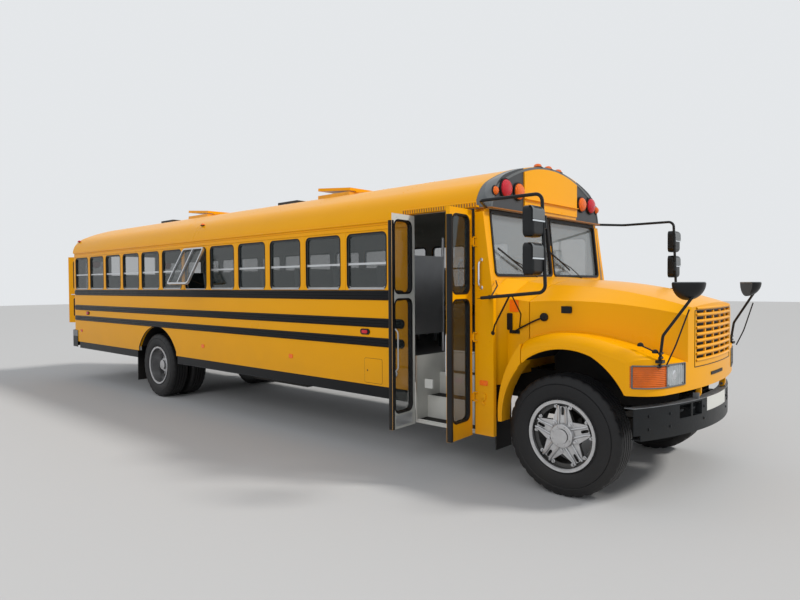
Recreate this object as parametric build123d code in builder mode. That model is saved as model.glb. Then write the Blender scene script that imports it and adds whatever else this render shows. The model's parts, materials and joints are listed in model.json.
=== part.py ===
from build123d import *
from math import atan2, cos, radians, sin, tan
import os

os.makedirs("parts", exist_ok=True)

# School bus with a conventional nose. Millimetres, +X forward, +Y left, +Z up.
# Heights are measured from the body's datum line, and each saved piece is lifted by ride, so that
# z = 0 is the road. X = 0 lies midway between the open rear door's tip and the nose mirrors.

# Body shell: stations along X, counted from the rearmost window post
post_x = -5202.64           # centre of the rearmost side window post
ride = 45.0                 # height of the datum line over the road
pitch = 700.0               # one window bay
bays = 12                   # window bays on each side
rear_x = post_x - 85.0      # outer face of the rear wall
body_w = 1180.0             # half width over the side skins
wall = 45.0                 # whole thickness of a side or rear wall
roof_t = 50.0               # whole thickness of the roof
corner_r = 80.0             # vertical rear corners
skirt_z = 663.0             # lower edge of the yellow side
eave_z = 2365.0             # where the side turns into the roof
crown_z = 2895.0            # top of the roof
shoulder_r = 330.0          # roof corner radius
dome_l = 640.0              # length of the rear roof cap
floor_z = 1010.0            # top of the cabin floor
floor_t = 40.0
seam = 0.3                  # gap where two separate panels meet

# Side windows
sill_z = 1670.0
head_z = 2263.0
window_w = 592.0
window_r = 62.0
sash_w = 22.0               # width of a window frame bar
sash_t = 30.0               # depth of a window frame
sash_z = 1940.0             # the bar across the middle of a side window
glass_t = 6.0
pushout_bay = 7             # the bay with the top hung escape window
pushout_tilt = 27.0         # degrees that window stands open

# Entrance door on the right
door_x0 = post_x + 8680.0   # rear edge of the doorway
door_x1 = post_x + 9440.0   # front edge of the doorway
door_z0 = 335.0
door_z1 = 2400.0
leaf_t = 40.0
leaf_gap = 8.0              # running gap between a leaf and its hinge line
hinge_in = 5.0              # hinge line inside the doorway's edge
hinge_out = 10.0            # hinge line outside the skin
hinge_pin_r = 5.0
hinge_eye_r = 9.0
hinge_clear = 0.3
leaf_meet = 12.0            # gap where the two leaves meet when shut
rear_leaf_open = 85.0
front_leaf_open = 94.0
side_x1 = post_x + 9640.0   # front edge of the cab sides
cab_x1 = post_x + 9450.0    # front edge of the roof panel
post_bend_z = 1580.0        # height where the cab's front edge starts to lean back
post_lean = 110.0           # how far it leans back at the eave

# Rear emergency door
escape_w = 930.0
escape_z0 = 985.0
escape_z1 = 2325.0
escape_open = 125.0

# Chassis
wheelbase = 7010.0
front_axle_x = post_x + 10260.0
rear_axle_x = front_axle_x - wheelbase
tyre_r = 503.0              # across the flats of its facets
tyre_facets = 48
tyre_w = 270.0
rim_r = 286.0               # seat of the tyre bead
rim_flange_r = 298.5
front_track_y = 995.0       # centre of a front tyre
dual_outer_y = 995.0
dual_inner_y = 678.0
kingpin_y = 838.0
kingpin_r = 20.0
spindle_r = 34.0
hub_clear = 0.35
steer_arm = 230.0
rail_y = 430.0              # outer face of a frame rail
rail_z0 = 650.0
rail_z1 = 890.0
rail_t = 9.0
rail_flange = 75.0
rail_x0 = rear_x + 60.0
rail_x1 = post_x + 10960.0
sill_h = 80.0               # floor cross members between rails and floor

# Nose
hood_x0 = post_x + 9900.0   # rear edge of the tilting hood
hood_x1 = post_x + 11120.0  # front of the hood at its upper lip
hood_wall = 14.0
nose_in = 28.0              # how far the fenders stand inside the body's sides
fender_y = body_w - nose_in
hood_pivot_x = hood_x1 - 30.0
hood_pivot_z = 800.0
hood_arm_y = 345.0
pin_r = 12.0
hood_gap = 8.0              # running gap behind the hood
bumper_x1 = post_x + 11150.0
tow_x = rail_x1 + 50.0      # upright towing pin holes in the bumper brackets, behind its flanges
tow_y = rail_y - rail_flange / 2
tow_z = (580.0, 730.0)
tow_r = 20.0
plate_hole_y = 88.9         # holes for a number plate, 7 in apart
plate_hole_z = 725.0
plate_hole_r = 3.5


def block(x, y, z, mode=Mode.ADD):
    """A block between two corners, each axis given as (low, high)."""
    with Locations(((x[0] + x[1]) / 2, (y[0] + y[1]) / 2, (z[0] + z[1]) / 2)):
        Box(x[1] - x[0], y[1] - y[0], z[1] - z[0], mode=mode)


def both(y0, y1):
    """The same stretch of Y on the right and on the left."""
    return ((-y1, -y0), (y0, y1))


def arch_line(half, base_z, top_z, r):
    """Closed outline of the roof's section: side, shoulder arc, crown arc, and the same back."""
    rise = top_z - base_z
    crown = (half**2 + rise**2 - 2 * half * r) / (2 * (rise - r))
    turn = atan2(crown - rise, half - r)
    end = (half - r + r * cos(turn), base_z + r * sin(turn))
    mid = (half - r + r * cos(turn / 2), base_z + r * sin(turn / 2))
    with BuildLine() as outline:
        ThreePointArc((half, base_z), mid, end)
        ThreePointArc(end, (0, top_z), (-end[0], end[1]))
        ThreePointArc((-end[0], end[1]), (-mid[0], mid[1]), (-half, base_z))
        Line((-half, base_z), (half, base_z))
    make_face(outline.edges())


def arch_ring(x0, x1, outer, inner):
    """The roof's hollow section, pulled from x0 to x1."""
    with BuildSketch(Plane.YZ.offset(x0)) as section:
        arch_line(*outer)
    extrude(section.sketch, amount=x1 - x0)
    with BuildSketch(Plane.YZ.offset(x0)) as hollow:
        arch_line(*inner)
    extrude(hollow.sketch, amount=x1 - x0, mode=Mode.SUBTRACT)


def leaf_ears(edge_x, s):
    """Ears and pins on a doorway's edge for one entrance leaf; s points into the doorway."""
    for z in leaf_hinge_z:
        for ez in ((z - 45, z - 31), (z + 31, z + 45)):
            block(sorted((edge_x - s * 30, edge_x + s * (hinge_in + 5))), (hinge_y - 5, -body_w + 5), ez)
        with Locations((edge_x + s * hinge_in, hinge_y, z)):
            Cylinder(hinge_pin_r, 80)


def save(name, item):
    lifted = Location((0, 0, ride)) * item
    lifted.label = name
    export_step(lifted, f"parts/{name}.step")


half_door = (door_x1 - door_x0) / 2
hinge_y = -body_w - hinge_out
leaf_w = half_door - hinge_in - leaf_meet / 2
leaf_hinge_z = (700.0, 1240.0, 2100.0)
bay_x = [post_x + (i + 0.5) * pitch for i in range(bays)]
roof_outer = (body_w, eave_z, crown_z, shoulder_r)
roof_inner = (body_w - roof_t, eave_z, crown_z - roof_t, shoulder_r - roof_t)

# Chassis frame: two channel rails, outriggers and cross members
with BuildPart() as frame_rails:
    for y in both(rail_y - rail_flange, rail_y):
        block((rail_x0, rail_x1), y, (rail_z0, rail_z1))
    for y in both(rail_y - rail_flange - 1, rail_y - rail_t):
        block((rail_x0 - 1, rail_x1 + 1), y, (rail_z0 + rail_t, rail_z1 - rail_t), Mode.SUBTRACT)
    for x in (
        rail_x0 + 40, rear_axle_x - 700, rear_axle_x + 700,
        rear_axle_x + 2300, rear_axle_x + 3900, front_axle_x - 1150
    ):
        block((x, x + 80), (-rail_y + rail_t, rail_y - rail_t), (rail_z0 + 60, rail_z1 - 60))
    block((rail_x1 - 60, rail_x1), (-rail_y + rail_t, rail_y - rail_t), (rail_z0 + 20, rail_z0 + 90))
save("frame_rails", frame_rails.part)

# Cabin floor: deck, cross sills and the two rear wheel houses
house_x = (rear_axle_x - 570.0, rear_axle_x + 570.0)
house_y = 525.0
house_z = 1165.0
well_y = -560.0             # inner side of the step well
well_x = (door_x0 - 10.0, door_x1 + 10.0)
deck_y = body_w - wall - seam
with BuildPart() as floor_deck:
    block((rear_x + corner_r + seam, cab_x1 - seam), (-deck_y, deck_y), (floor_z - floor_t, floor_z))
    block(
        (rear_x + wall + 6, rear_x + corner_r + 1),
        (corner_r - body_w + 1, body_w - corner_r - 1), (floor_z - floor_t, floor_z)
    )
    for i in range(bays * 2 - 1):
        x = rear_x + 300 + i * pitch / 2
        if abs(x - rear_axle_x) > 600:
            block((x - 25, x + 25), (-deck_y, deck_y), (floor_z - floor_t - sill_h, floor_z - floor_t + 1))
    block(
        (rear_axle_x - 560, rear_axle_x + 560), (-house_y, house_y),
        (floor_z - floor_t - sill_h, floor_z - floor_t + 1)
    )
    for y in both(house_y, deck_y):
        block(house_x, y, (floor_z - floor_t, house_z))
    for y in both(house_y + 8, deck_y + 1):
        block((house_x[0] + 8, house_x[1] - 8), y, (floor_z - floor_t - 1, house_z - 8), Mode.SUBTRACT)
    block(well_x, (-deck_y - 1, well_y), (floor_z - 200, floor_z + 1), Mode.SUBTRACT)
save("floor_deck", floor_deck.part)

# Side walls: one plate each, windows, wheel arch and doorway cut
wall_x0 = rear_x + corner_r + seam
side_arch_x = (rear_axle_x - 540.0, rear_axle_x + 700.0)
side_arch_z = 1085.0
wall_rows = (
    ("right", body_w - wall, door_x0, 0.0),
    ("left", -body_w, side_x1, post_lean),
)
for side, plane_y, x_end, lean in wall_rows:
    with BuildPart() as side_wall:
        with BuildSketch(Plane.XZ.offset(plane_y)):
            with BuildLine():
                Polyline((wall_x0, skirt_z), (side_arch_x[0], skirt_z), (side_arch_x[0], skirt_z + 60))
                ThreePointArc(
                    (side_arch_x[0], skirt_z + 60),
                    (sum(side_arch_x) / 2, side_arch_z),
                    (side_arch_x[1], skirt_z + 60),
                )
                Polyline(
                    (side_arch_x[1], skirt_z + 60),
                    (side_arch_x[1], skirt_z),
                    (x_end, skirt_z),
                    (x_end, post_bend_z),
                    (x_end - lean, eave_z - seam),
                    (wall_x0, eave_z - seam),
                    (wall_x0, skirt_z),
                )
            make_face()
            with Locations(*[(x, (sill_z + head_z) / 2) for x in bay_x]):
                RectangleRounded(window_w, head_z - sill_z, window_r, mode=Mode.SUBTRACT)
            if side == "left":
                with Locations(((door_x0 + door_x1) / 2, (sill_z + head_z) / 2 - 20)):
                    RectangleRounded(
                        door_x1 - door_x0 - 60, head_z - sill_z + 40, window_r, mode=Mode.SUBTRACT
                    )
        extrude(amount=wall)
        if side == "right":
            leaf_ears(door_x0, 1)
        else:
            block((door_x0 + 20, door_x0 + 120), (body_w - 1, body_w + 62), (1390, 1540))
            with Locations((door_x0 + 6, body_w + 45, 1465)):
                Cylinder(5, 130)
            for z in ((1402, 1412), (1518, 1528)):
                block((door_x0, door_x0 + 21), (body_w + 38, body_w + 52), z)
    save(f"side_wall_{side}", side_wall.part)

# Front post on the right, between the doorway and the cowl
with BuildPart() as front_post:
    with BuildSketch(Plane.XZ.offset(body_w - wall)):
        with BuildLine():
            Polyline(
                (door_x1, door_z0 + 25),
                (side_x1, door_z0 + 25),
                (side_x1, post_bend_z),
                (side_x1 - post_lean, eave_z - seam),
                (door_x1, eave_z - seam),
                (door_x1, door_z0 + 25),
            )
        make_face()
    extrude(amount=wall)
    leaf_ears(door_x1, -1)
save("front_post", front_post.part)

# Rear wall with rounded corners, the escape doorway and two windows
escape_y = escape_w / 2
escape_hinge_z = (1120.0, 1650.0, 2200.0)
rear_window_y = (560.0, 960.0)
with BuildPart() as rear_wall:
    with BuildSketch(Plane.XY.offset(skirt_z)):
        with BuildLine():
            Line((rear_x + corner_r, -body_w), (rear_x + corner_r, -body_w + wall))
            Line((rear_x + corner_r, -body_w + wall), (rear_x + wall, -body_w + corner_r))
            Line((rear_x + wall, -body_w + corner_r), (rear_x + wall, body_w - corner_r))
            Line((rear_x + wall, body_w - corner_r), (rear_x + corner_r, body_w - wall))
            Line((rear_x + corner_r, body_w - wall), (rear_x + corner_r, body_w))
            RadiusArc((rear_x + corner_r, body_w), (rear_x, body_w - corner_r), -corner_r)
            Line((rear_x, body_w - corner_r), (rear_x, -body_w + corner_r))
            RadiusArc((rear_x, -body_w + corner_r), (rear_x + corner_r, -body_w), -corner_r)
        make_face()
    extrude(amount=eave_z - seam - skirt_z)
    block(
        (rear_x - 1, rear_x + wall + 1), (-escape_y, escape_y), (escape_z0 - 8, escape_z1 + 8), Mode.SUBTRACT
    )
    for y in both(*rear_window_y):
        block((rear_x - 1, rear_x + wall + 1), y, (sill_z, head_z - 40), Mode.SUBTRACT)
    block(
        (rear_x - 1, rear_x + wall + 1), (-rail_y - 50, rail_y + 50),
        (skirt_z - 1, rail_z1 + 5), Mode.SUBTRACT
    )
    for z in escape_hinge_z:
        block(
            (rear_x - hinge_out - 5, rear_x + 5), (-escape_y - 40, -escape_y - hinge_in + 6), (z + 31, z + 45)
        )
        block(
            (rear_x - hinge_out - 5, rear_x + 5), (-escape_y - 40, -escape_y - hinge_in + 6), (z - 45, z - 31)
        )
        with Locations((rear_x - hinge_out, -escape_y - hinge_in, z)):
            Cylinder(hinge_pin_r, 80)
save("rear_wall", rear_wall.part)

# Roof over all bays: sheets that meet beside the hatches, so each hatch hole is in a sheet of its own
hatch_x = (post_x + 3100.0, post_x + 6560.0)
hatch_half = 280.0
hatch_sheet = 350.0         # from a hatch's middle to its sheet's seams
roof_x0 = rear_x + dome_l
roof_seams = [roof_x0, *[x + s * hatch_sheet for x in hatch_x for s in (-1, 1)], cab_x1]
with BuildPart() as roof_panel:
    for x0, x1 in zip(roof_seams, roof_seams[1:]):
        arch_ring(x0 + seam, x1, roof_outer, roof_inner)
    for x in hatch_x:
        block(
            (x - hatch_half, x + hatch_half), (-hatch_half, hatch_half),
            (crown_z - 200, crown_z + 10), Mode.SUBTRACT
        )
    block((door_x0, door_x1), (-body_w - 1, -body_w + wall + 10), (eave_z - 1, door_z1), Mode.SUBTRACT)
save("roof_panel", roof_panel.part)

# Rear roof cap: the roof's section rounded off towards the rear in side view
def dome(outline, inset):
    """Solid of the rear cap, inset by a wall."""
    with BuildSketch(Plane.YZ.offset(rear_x - 10)) as section:
        arch_line(*outline)
    with BuildSketch(Plane.XZ.offset(-body_w - 20)) as side:
        with Locations((rear_x + dome_l, eave_z)):
            Ellipse(dome_l - inset, crown_z - eave_z - inset + 0.4)
            Rectangle(dome_l, crown_z, align=(Align.MAX, Align.CENTER), mode=Mode.INTERSECT)
    return extrude(section.sketch, amount=dome_l + 30) & extrude(side.sketch, amount=2 * body_w + 40)


outer_dome = dome(roof_outer, 0.0)
inner_dome = dome(roof_inner, roof_t)
with BuildPart() as roof_rear_cap:
    add(outer_dome)
    add(inner_dome, mode=Mode.SUBTRACT)
save("roof_rear_cap", roof_rear_cap.part)

# Front header: the cap over the windscreen that carries the sign and the flashing lamps
header_x = (cab_x1 + seam, post_x + 9570.0)
header_z = 2395.0
header_rear = (roof_outer, roof_inner)
header_front = (
    (body_w - 68.0, eave_z, crown_z - 5.0, 400.0), (body_w - 118.0, eave_z, crown_z - 55.0, 350.0)
)
header_face = 30.0          # thickness of the header's front
sign_y = 550.0
sign_z = (2440.0, 2535.0, 2790.0, 2872.0)  # lower edge, ledge, upper corners, top
with BuildPart() as front_header:
    for k, mode, cut in ((0, Mode.ADD, 0.0), (1, Mode.SUBTRACT, header_face)):
        with BuildSketch(Plane.YZ.offset(header_x[0])) as back:
            arch_line(*header_rear[k])
        with BuildSketch(Plane.YZ.offset(header_x[1] - cut)) as front:
            arch_line(*header_front[k])
        loft([back.sketch, front.sketch], ruled=True, mode=mode)
    block((header_x[0] - 1, header_x[1] + 1), (-body_w, body_w), (eave_z - 1, header_z), Mode.SUBTRACT)
    with BuildSketch(Plane.YZ.offset(header_x[1] - 1)) as sign:
        with BuildLine() as outline:
            Polyline((-sign_y, sign_z[2]), (-sign_y, sign_z[0]), (sign_y, sign_z[0]), (sign_y, sign_z[2]))
            ThreePointArc((sign_y, sign_z[2]), (0, sign_z[3]), (-sign_y, sign_z[2]))
        make_face(outline.edges())
    extrude(sign.sketch, amount=9)
    block((header_x[1], header_x[1] + 30), (-sign_y, sign_y), (sign_z[1] - 4, sign_z[1]))
save("front_header", front_header.part)

# Windscreen frame and cowl. The nose's sections are read from the cab to the front, columns:
# station, side half width, top of the side, ridge half width, ridge height, centre height, corner radius
screen_z = (1790.0, 2378.0)
screen_y = body_w - 110.0
screen_r = 40.0
face_low = (side_x1 - 40.0, 1700.0)   # the cab's front stands upright below this point
face_top_x = side_x1 - 115.0            # and leans back to here under the header
cowl_low = skirt_z + 150.0
nose_tip_x = post_x + 11139.0
nose_low = 860.0            # lower edge of the hood and fenders
valley_z = 1000.0           # inside the fenders, where the hood's own sections end
cowl_sections = (
    (face_low[0] - 1, body_w - 50, 1650.0, 900.0, 1768.0, 1788.0, 50.0),
    (post_x + 9680, body_w - 176, 1590.0, 650.0, 1740.0, 1778.0, 55.0),
    (hood_x0 - hood_gap, body_w - 180, 1560.0, 615.0, 1703.0, 1757.0, 55.0),
)
hood_sections = (
    (hood_x0, body_w - 180, 1560.0, 615.0, 1703.0, 1757.0, 55.0),
    (post_x + 10450, body_w - 318, 1560.0, 608.0, 1668.0, 1711.0, 55.0),
    (post_x + 11160, body_w - 595, 1440.0, 545.0, 1500.0, 1542.0, 30.0),
)
arch_points = (
    (9697, 505), (9760, 832), (9957, 1089), (10230, 1184), (10528, 1146), (10700, 1010), (10803, 864)
)
tail_points = ((9667, 501), (9722, 905), (9892, 1200))


def nose_body(sections, base_z, inset, ruled):
    """Solid through the sections: flat sides, rounded shoulders, sharp ridges and a crowned top."""
    with BuildPart() as body:
        for x, side_y, side_z, ridge_y, ridge_z, centre_z, corner in sections:
            side, top = side_y - inset, side_z - inset
            ridge, high = ridge_y - 0.6 * inset, ridge_z - inset
            with BuildSketch(Plane.YZ.offset(x)) as section:
                with BuildLine() as outline:
                    Polyline((side, base_z), (side, top), (ridge, high))
                    ThreePointArc((ridge, high), (0, centre_z - inset), (-ridge, high))
                    Polyline((-ridge, high), (-side, top), (-side, base_z), (side, base_z))
                make_face(outline.edges())
                shoulders = section.vertices().filter_by(lambda v: abs(v.Y) > side - 1 and v.Z > top - 1)
                fillet(shoulders, corner - inset)
        loft(ruled=ruled)
    return body.part


def wheel_arch(y):
    """Solid that fills the front wheel's arch across the stretch y."""
    knots = [(post_x + x, z) for x, z in arch_points]
    with BuildPart() as hole:
        with BuildSketch(Plane.XZ.offset(-y[1])) as opening:
            with BuildLine() as outline:
                for k in (0, 2, 4):
                    ThreePointArc(*knots[k:k + 3])
                Polyline(knots[-1], (knots[-1][0], 400), (knots[0][0], 400), knots[0])
            make_face(outline.edges())
        extrude(opening.sketch, amount=y[1] - y[0])
    return hole.part


# The windscreen's plane: normal forward, its own Y up the slope
screen_lean = atan2(face_low[0] - face_top_x, header_z - face_low[1])
screen_mid = (screen_z[0] + screen_z[1]) / 2
screen_x = face_low[0] - (screen_mid - face_low[1]) * tan(screen_lean)
screen = Plane((screen_x, 0, screen_mid), x_dir=(0, 1, 0), z_dir=(cos(screen_lean), 0, sin(screen_lean)))
screen_bar = 22.0           # half width of the post between the panes
# Cab front, columns: half width, rear end, lower edge, upper edge, inset of the face
cab_front = (
    (body_w - wall - seam, cab_x1 + seam, floor_z - 150, header_z - seam, 0.0, Mode.ADD),
    (body_w - wall - 60, cab_x1 - 1, floor_z - 151, header_z + 1, wall, Mode.SUBTRACT),
)


def screen_lights(plane, at, depth, shrink, mode=Mode.ADD):
    """The two rounded windscreen openings, or the panes that fill them."""
    high = (screen_z[1] - screen_z[0]) / cos(screen_lean) - 2 * shrink
    for y in both(screen_bar + shrink, screen_y - shrink):
        with BuildSketch(plane.offset(at)) as light:
            with Locations(((y[0] + y[1]) / 2, 0)):
                RectangleRounded(y[1] - y[0], high, screen_r - shrink)
        extrude(light.sketch, amount=depth, mode=mode)


with BuildPart() as cowl:
    add(nose_body(cowl_sections, cowl_low, 0.0, True))
    add(nose_body(cowl_sections, cowl_low - 1, hood_wall, True), mode=Mode.SUBTRACT)
    for y in both(body_w - 182, fender_y):
        with BuildSketch(Plane.XZ.offset(-y[1])) as tail:
            with BuildLine() as outline:
                knots = [(post_x + x, z) for x, z in tail_points]
                ThreePointArc(*knots)
                Polyline(knots[2], (knots[2][0], knots[0][1]), knots[0])
            make_face(outline.edges())
        extrude(tail.sketch, amount=y[1] - y[0])
    for y in both(body_w - 280, fender_y + 1):
        add(wheel_arch(y), mode=Mode.SUBTRACT)
    for half, back, low, high, thick, mode in cab_front:
        with BuildSketch(Plane.XZ.offset(-half)) as profile:
            with BuildLine() as outline:
                Polyline(
                    (back, low), (face_low[0] - thick, low), (face_low[0] - thick, face_low[1]),
                    (face_top_x - thick, high), (back, high), (back, low),
                )
            make_face(outline.edges())
        extrude(profile.sketch, amount=2 * half, mode=mode)
    screen_lights(screen, 60.0, -120.0, 0.0, Mode.SUBTRACT)
    block((side_x1 - 250, hood_x0 + 20), (-rail_y - 30, rail_y + 30), (700, rail_z1 + 8), Mode.SUBTRACT)
save("cowl", cowl.part)

# Windscreen: two panes with a post between them
with BuildPart() as windshield:
    screen_lights(screen, -20.0, -glass_t, seam)
save("windshield", windshield.part)

# Side window frames and panes, and the top hung escape window
frame_z = (sill_z + seam, head_z - seam)
with BuildPart() as window_frames:
    for side in (1, -1):
        for i, x in enumerate(bay_x):
            if side == -1 and i == pushout_bay - 1:
                continue
            y = body_w - wall / 2
            with BuildSketch(Plane.XZ.offset(-side * y - sash_t / 2)):
                with Locations((x, (frame_z[0] + frame_z[1]) / 2)):
                    RectangleRounded(window_w - 2 * seam, frame_z[1] - frame_z[0], window_r - seam)
                    RectangleRounded(
                        window_w - 2 * sash_w, frame_z[1] - frame_z[0] - 2 * sash_w, window_r - sash_w,
                        mode=Mode.SUBTRACT,
                    )
            extrude(amount=sash_t)
            bar = sorted((side * (y + glass_t / 2 + seam), side * (y + sash_t / 2)))
            block(
                (x - window_w / 2 + 10, x + window_w / 2 - 10),
                bar, (sash_z - sash_w / 2, sash_z + sash_w / 2)
            )
save("window_frames", window_frames.part)

driver_window = ((door_x0 + door_x1) / 2, sill_z - 40, head_z)
with BuildPart() as window_glass:
    for side in (1, -1):
        for i, x in enumerate(bay_x):
            if side == -1 and i == pushout_bay - 1:
                continue
            y = body_w - wall / 2
            with BuildSketch(Plane.XZ.offset(-side * y - glass_t / 2)):
                with Locations((x, (frame_z[0] + frame_z[1]) / 2)):
                    RectangleRounded(
                        window_w - 2 * sash_w - 2 * seam, frame_z[1] - frame_z[0] - 2 * sash_w - 2 * seam,
                        window_r - sash_w - seam,
                    )
            extrude(amount=glass_t)
    with BuildSketch(Plane.XZ.offset(-body_w + wall / 2)):
        with Locations((driver_window[0], (driver_window[1] + driver_window[2]) / 2)):
            RectangleRounded(
                door_x1 - door_x0 - 60 - 2 * seam, driver_window[2] - driver_window[1] - 2 * seam,
                window_r - seam
            )
    extrude(amount=glass_t)
    for y in both(*rear_window_y):
        block((rear_x + 20, rear_x + 26), (y[0] + seam, y[1] - seam), (sill_z + seam, head_z - 40 - seam))
save("window_glass", window_glass.part)

pushout_x = bay_x[pushout_bay - 1]
with BuildPart() as pushout_window:
    hinge = Plane((pushout_x, -body_w - 4, head_z - 6), x_dir=(1, 0, 0), z_dir=(0, -1, 0))
    hinge = hinge.rotated((-pushout_tilt, 0, 0))
    with BuildSketch(hinge):
        with Locations((0, -(head_z - sill_z) / 2)):
            RectangleRounded(window_w - 10, head_z - sill_z - 10, window_r - 10)
            RectangleRounded(window_w - 60, head_z - sill_z - 60, window_r - 30, mode=Mode.SUBTRACT)
            Rectangle(26, head_z - sill_z - 40)
    extrude(amount=sash_t)
    block((pushout_x - 220, pushout_x + 220), (-body_w - 20, -body_w - seam), (head_z - 22, head_z + 2))
save("pushout_window", pushout_window.part)

# Rub rails and the black skirt band: each row is low z, high z, rear end, front end
rail_rows = (
    (1556.0, 1660.0, rear_x + 40, door_x0 - 90),
    (1272.0, 1369.0, rear_x + 40, door_x0 - 90),
    (1073.0, 1166.0, rear_x + 40, door_x0 - 90),
)
rub_t = 20.0
with BuildPart() as rub_rails:
    for z0, z1, x0, x1 in rail_rows:
        block((max(x0, wall_x0), x1), (-body_w - rub_t, -body_w - seam), (z0, z1))
        block((max(x0, wall_x0), side_x1 - 60), (body_w + seam, body_w + rub_t), (z0, z1))
    for x0, x1 in ((post_x + 200, side_arch_x[0] - 40), (side_arch_x[1] + 40, door_x0 - 70)):
        for y in both(body_w - 20, body_w):
            block((x0, x1), y, (545, skirt_z - seam))
save("rub_rails", rub_rails.part)

# Entrance steps: three treads between two side panels
tread_z = (375.0, 590.0, 805.0)
with BuildPart() as step_well:
    with BuildSketch(Plane.XZ.offset(-well_y)):
        with BuildLine():
            Polyline(
                (door_x0 + 5, tread_z[0] - 30),
                (door_x1 - 5, tread_z[0] - 30),
                (door_x1 - 5, floor_z),
                (door_x0 + 5, floor_z),
                (door_x0 + 5, tread_z[0] - 30),
            )
        make_face()
    extrude(amount=body_w - wall - 6 + well_y)
    for k, z in enumerate(tread_z):
        block(
            (door_x0 + 25, door_x1 - 25), (-body_w - 50, -body_w + 215 + k * 200),
            (z, floor_z + 1), Mode.SUBTRACT
        )
save("step_well", step_well.part)

# Passenger benches: seat and back in one upholstered form, on a steel stand
rows = 11
row_x0 = rear_x + wall + 520.0
bench_y = (165.0, body_w - 60.0)
cushion_z = (1330.0, 1445.0)
back_z = 1930.0
with BuildPart() as bench_seats:
    for i in range(rows):
        x = row_x0 + i * pitch
        for y0 in (bench_y[0], -bench_y[1]):
            if x > door_x0 - 620 and y0 < 0:
                continue
            with BuildSketch(Plane.XZ.offset(-y0 - (bench_y[1] - bench_y[0]))):
                with BuildLine():
                    Polyline(
                        (x, cushion_z[0]),
                        (x + 430, cushion_z[0]),
                        (x + 430, cushion_z[1]),
                        (x + 60, cushion_z[1]),
                        (x - 20, back_z),
                        (x - 85, back_z),
                        (x, cushion_z[0]),
                    )
                make_face()
            extrude(amount=bench_y[1] - bench_y[0])
save("bench_seats", bench_seats.part)

with BuildPart() as seat_stands:
    for i in range(rows):
        x = row_x0 + i * pitch
        for side in (1, -1):
            if x > door_x0 - 620 and side < 0:
                continue
            for y0 in (bench_y[0] + 60, bench_y[1] - 220):
                y = sorted((side * y0, side * (y0 + 25)))
                base = house_z if abs(x + 215 - rear_axle_x) < 800 and y0 > 500 else floor_z
                block((x + 60, x + 370), y, (cushion_z[0] - 25 - seam, cushion_z[0] - seam))
                for px in (x + 60, x + 345):
                    block((px, px + 25), y, (base + seam, cushion_z[0] - seam))
save("seat_stands", seat_stands.part)

# Driver's seat: pedestal, cushion and high back
driver_x = door_x0 + 120.0
driver_y = 560.0
with BuildPart() as driver_seat:
    block((driver_x + 60, driver_x + 360), (driver_y - 150, driver_y + 150), (floor_z + seam, floor_z + 330))
    with BuildSketch(Plane.XZ.offset(-driver_y - 240)):
        with BuildLine():
            Polyline(
                (driver_x, floor_z + 329),
                (driver_x + 480, floor_z + 345),
                (driver_x + 470, floor_z + 470),
                (driver_x + 110, floor_z + 455),
                (driver_x, floor_z + 1080),
                (driver_x - 120, floor_z + 1080),
                (driver_x, floor_z + 329),
            )
        make_face()
    extrude(amount=480)
save("driver_seat", driver_seat.part)

# Dashboard, steering column and wheel
with BuildPart() as dashboard:
    block((side_x1 - 330, side_x1 - 88.3 - seam), (-500, 1060), (floor_z + 560, screen_z[0] - 60))
    with Locations(Plane((side_x1 - 420, driver_y, floor_z + 760), z_dir=(-0.72, 0, 0.69))):
        Torus(225, 14)
        Cylinder(30, 40)
        for a in (0, 120, 240):
            with Locations(Location((0, 0, 0), (0, 0, a))):
                Box(220, 26, 12, align=(Align.MIN, Align.CENTER, Align.CENTER))
        with Locations((0, 0, -135)):
            Cylinder(26, 270)
save("dashboard", dashboard.part)

# Heavy running gear
shaft_z = 560.0
gearbox_x = front_axle_x - 1000.0
with BuildPart() as engine_block:
    block((front_axle_x - 480, front_axle_x + 480), (-330, 330), (700, 1420))
    block((gearbox_x + seam, front_axle_x - 479), (-150, 150), (shaft_z - 100, shaft_z + 220))
    for x in (front_axle_x - 300, front_axle_x + 300):
        for y in both(329, rail_y - rail_t - seam):
            block((x - 60, x + 60), y, (700, 760))
save("engine_block", engine_block.part)

with BuildPart() as radiator:
    block((front_axle_x + 560, front_axle_x + 660), (-360, 360), (rail_z1 + 20, 1440))
    for y in both(355, rail_y - 20):
        block((front_axle_x + 580, front_axle_x + 640), y, (rail_z1 + seam, rail_z1 + 60))
save("radiator", radiator.part)

with BuildPart() as fuel_tank:
    block((rear_axle_x + 2600, rear_axle_x + 3700), (-1090, -rail_y - 40), (500, 860))
    for x in (rear_axle_x + 2800, rear_axle_x + 3500):
        block((x - 25, x + 25), (-rail_y - 41, -rail_y - seam), (rail_z0, 860))
save("fuel_tank", fuel_tank.part)

with BuildPart() as exhaust:
    with BuildSketch(Plane.YZ.offset(rear_axle_x + 900)):
        with Locations((560, 560)):
            Circle(48)
    extrude(amount=front_axle_x - 600 - rear_axle_x - 900)
    with BuildSketch(Plane.YZ.offset(rear_axle_x + 3000)):
        with Locations((560, 560)):
            Circle(125)
    extrude(amount=1000)
    for x in (rear_axle_x + 1500, rear_axle_x + 4600):
        block((x - 15, x + 15), (rail_y + seam, 580), (600, 680))
save("exhaust", exhaust.part)

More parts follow.
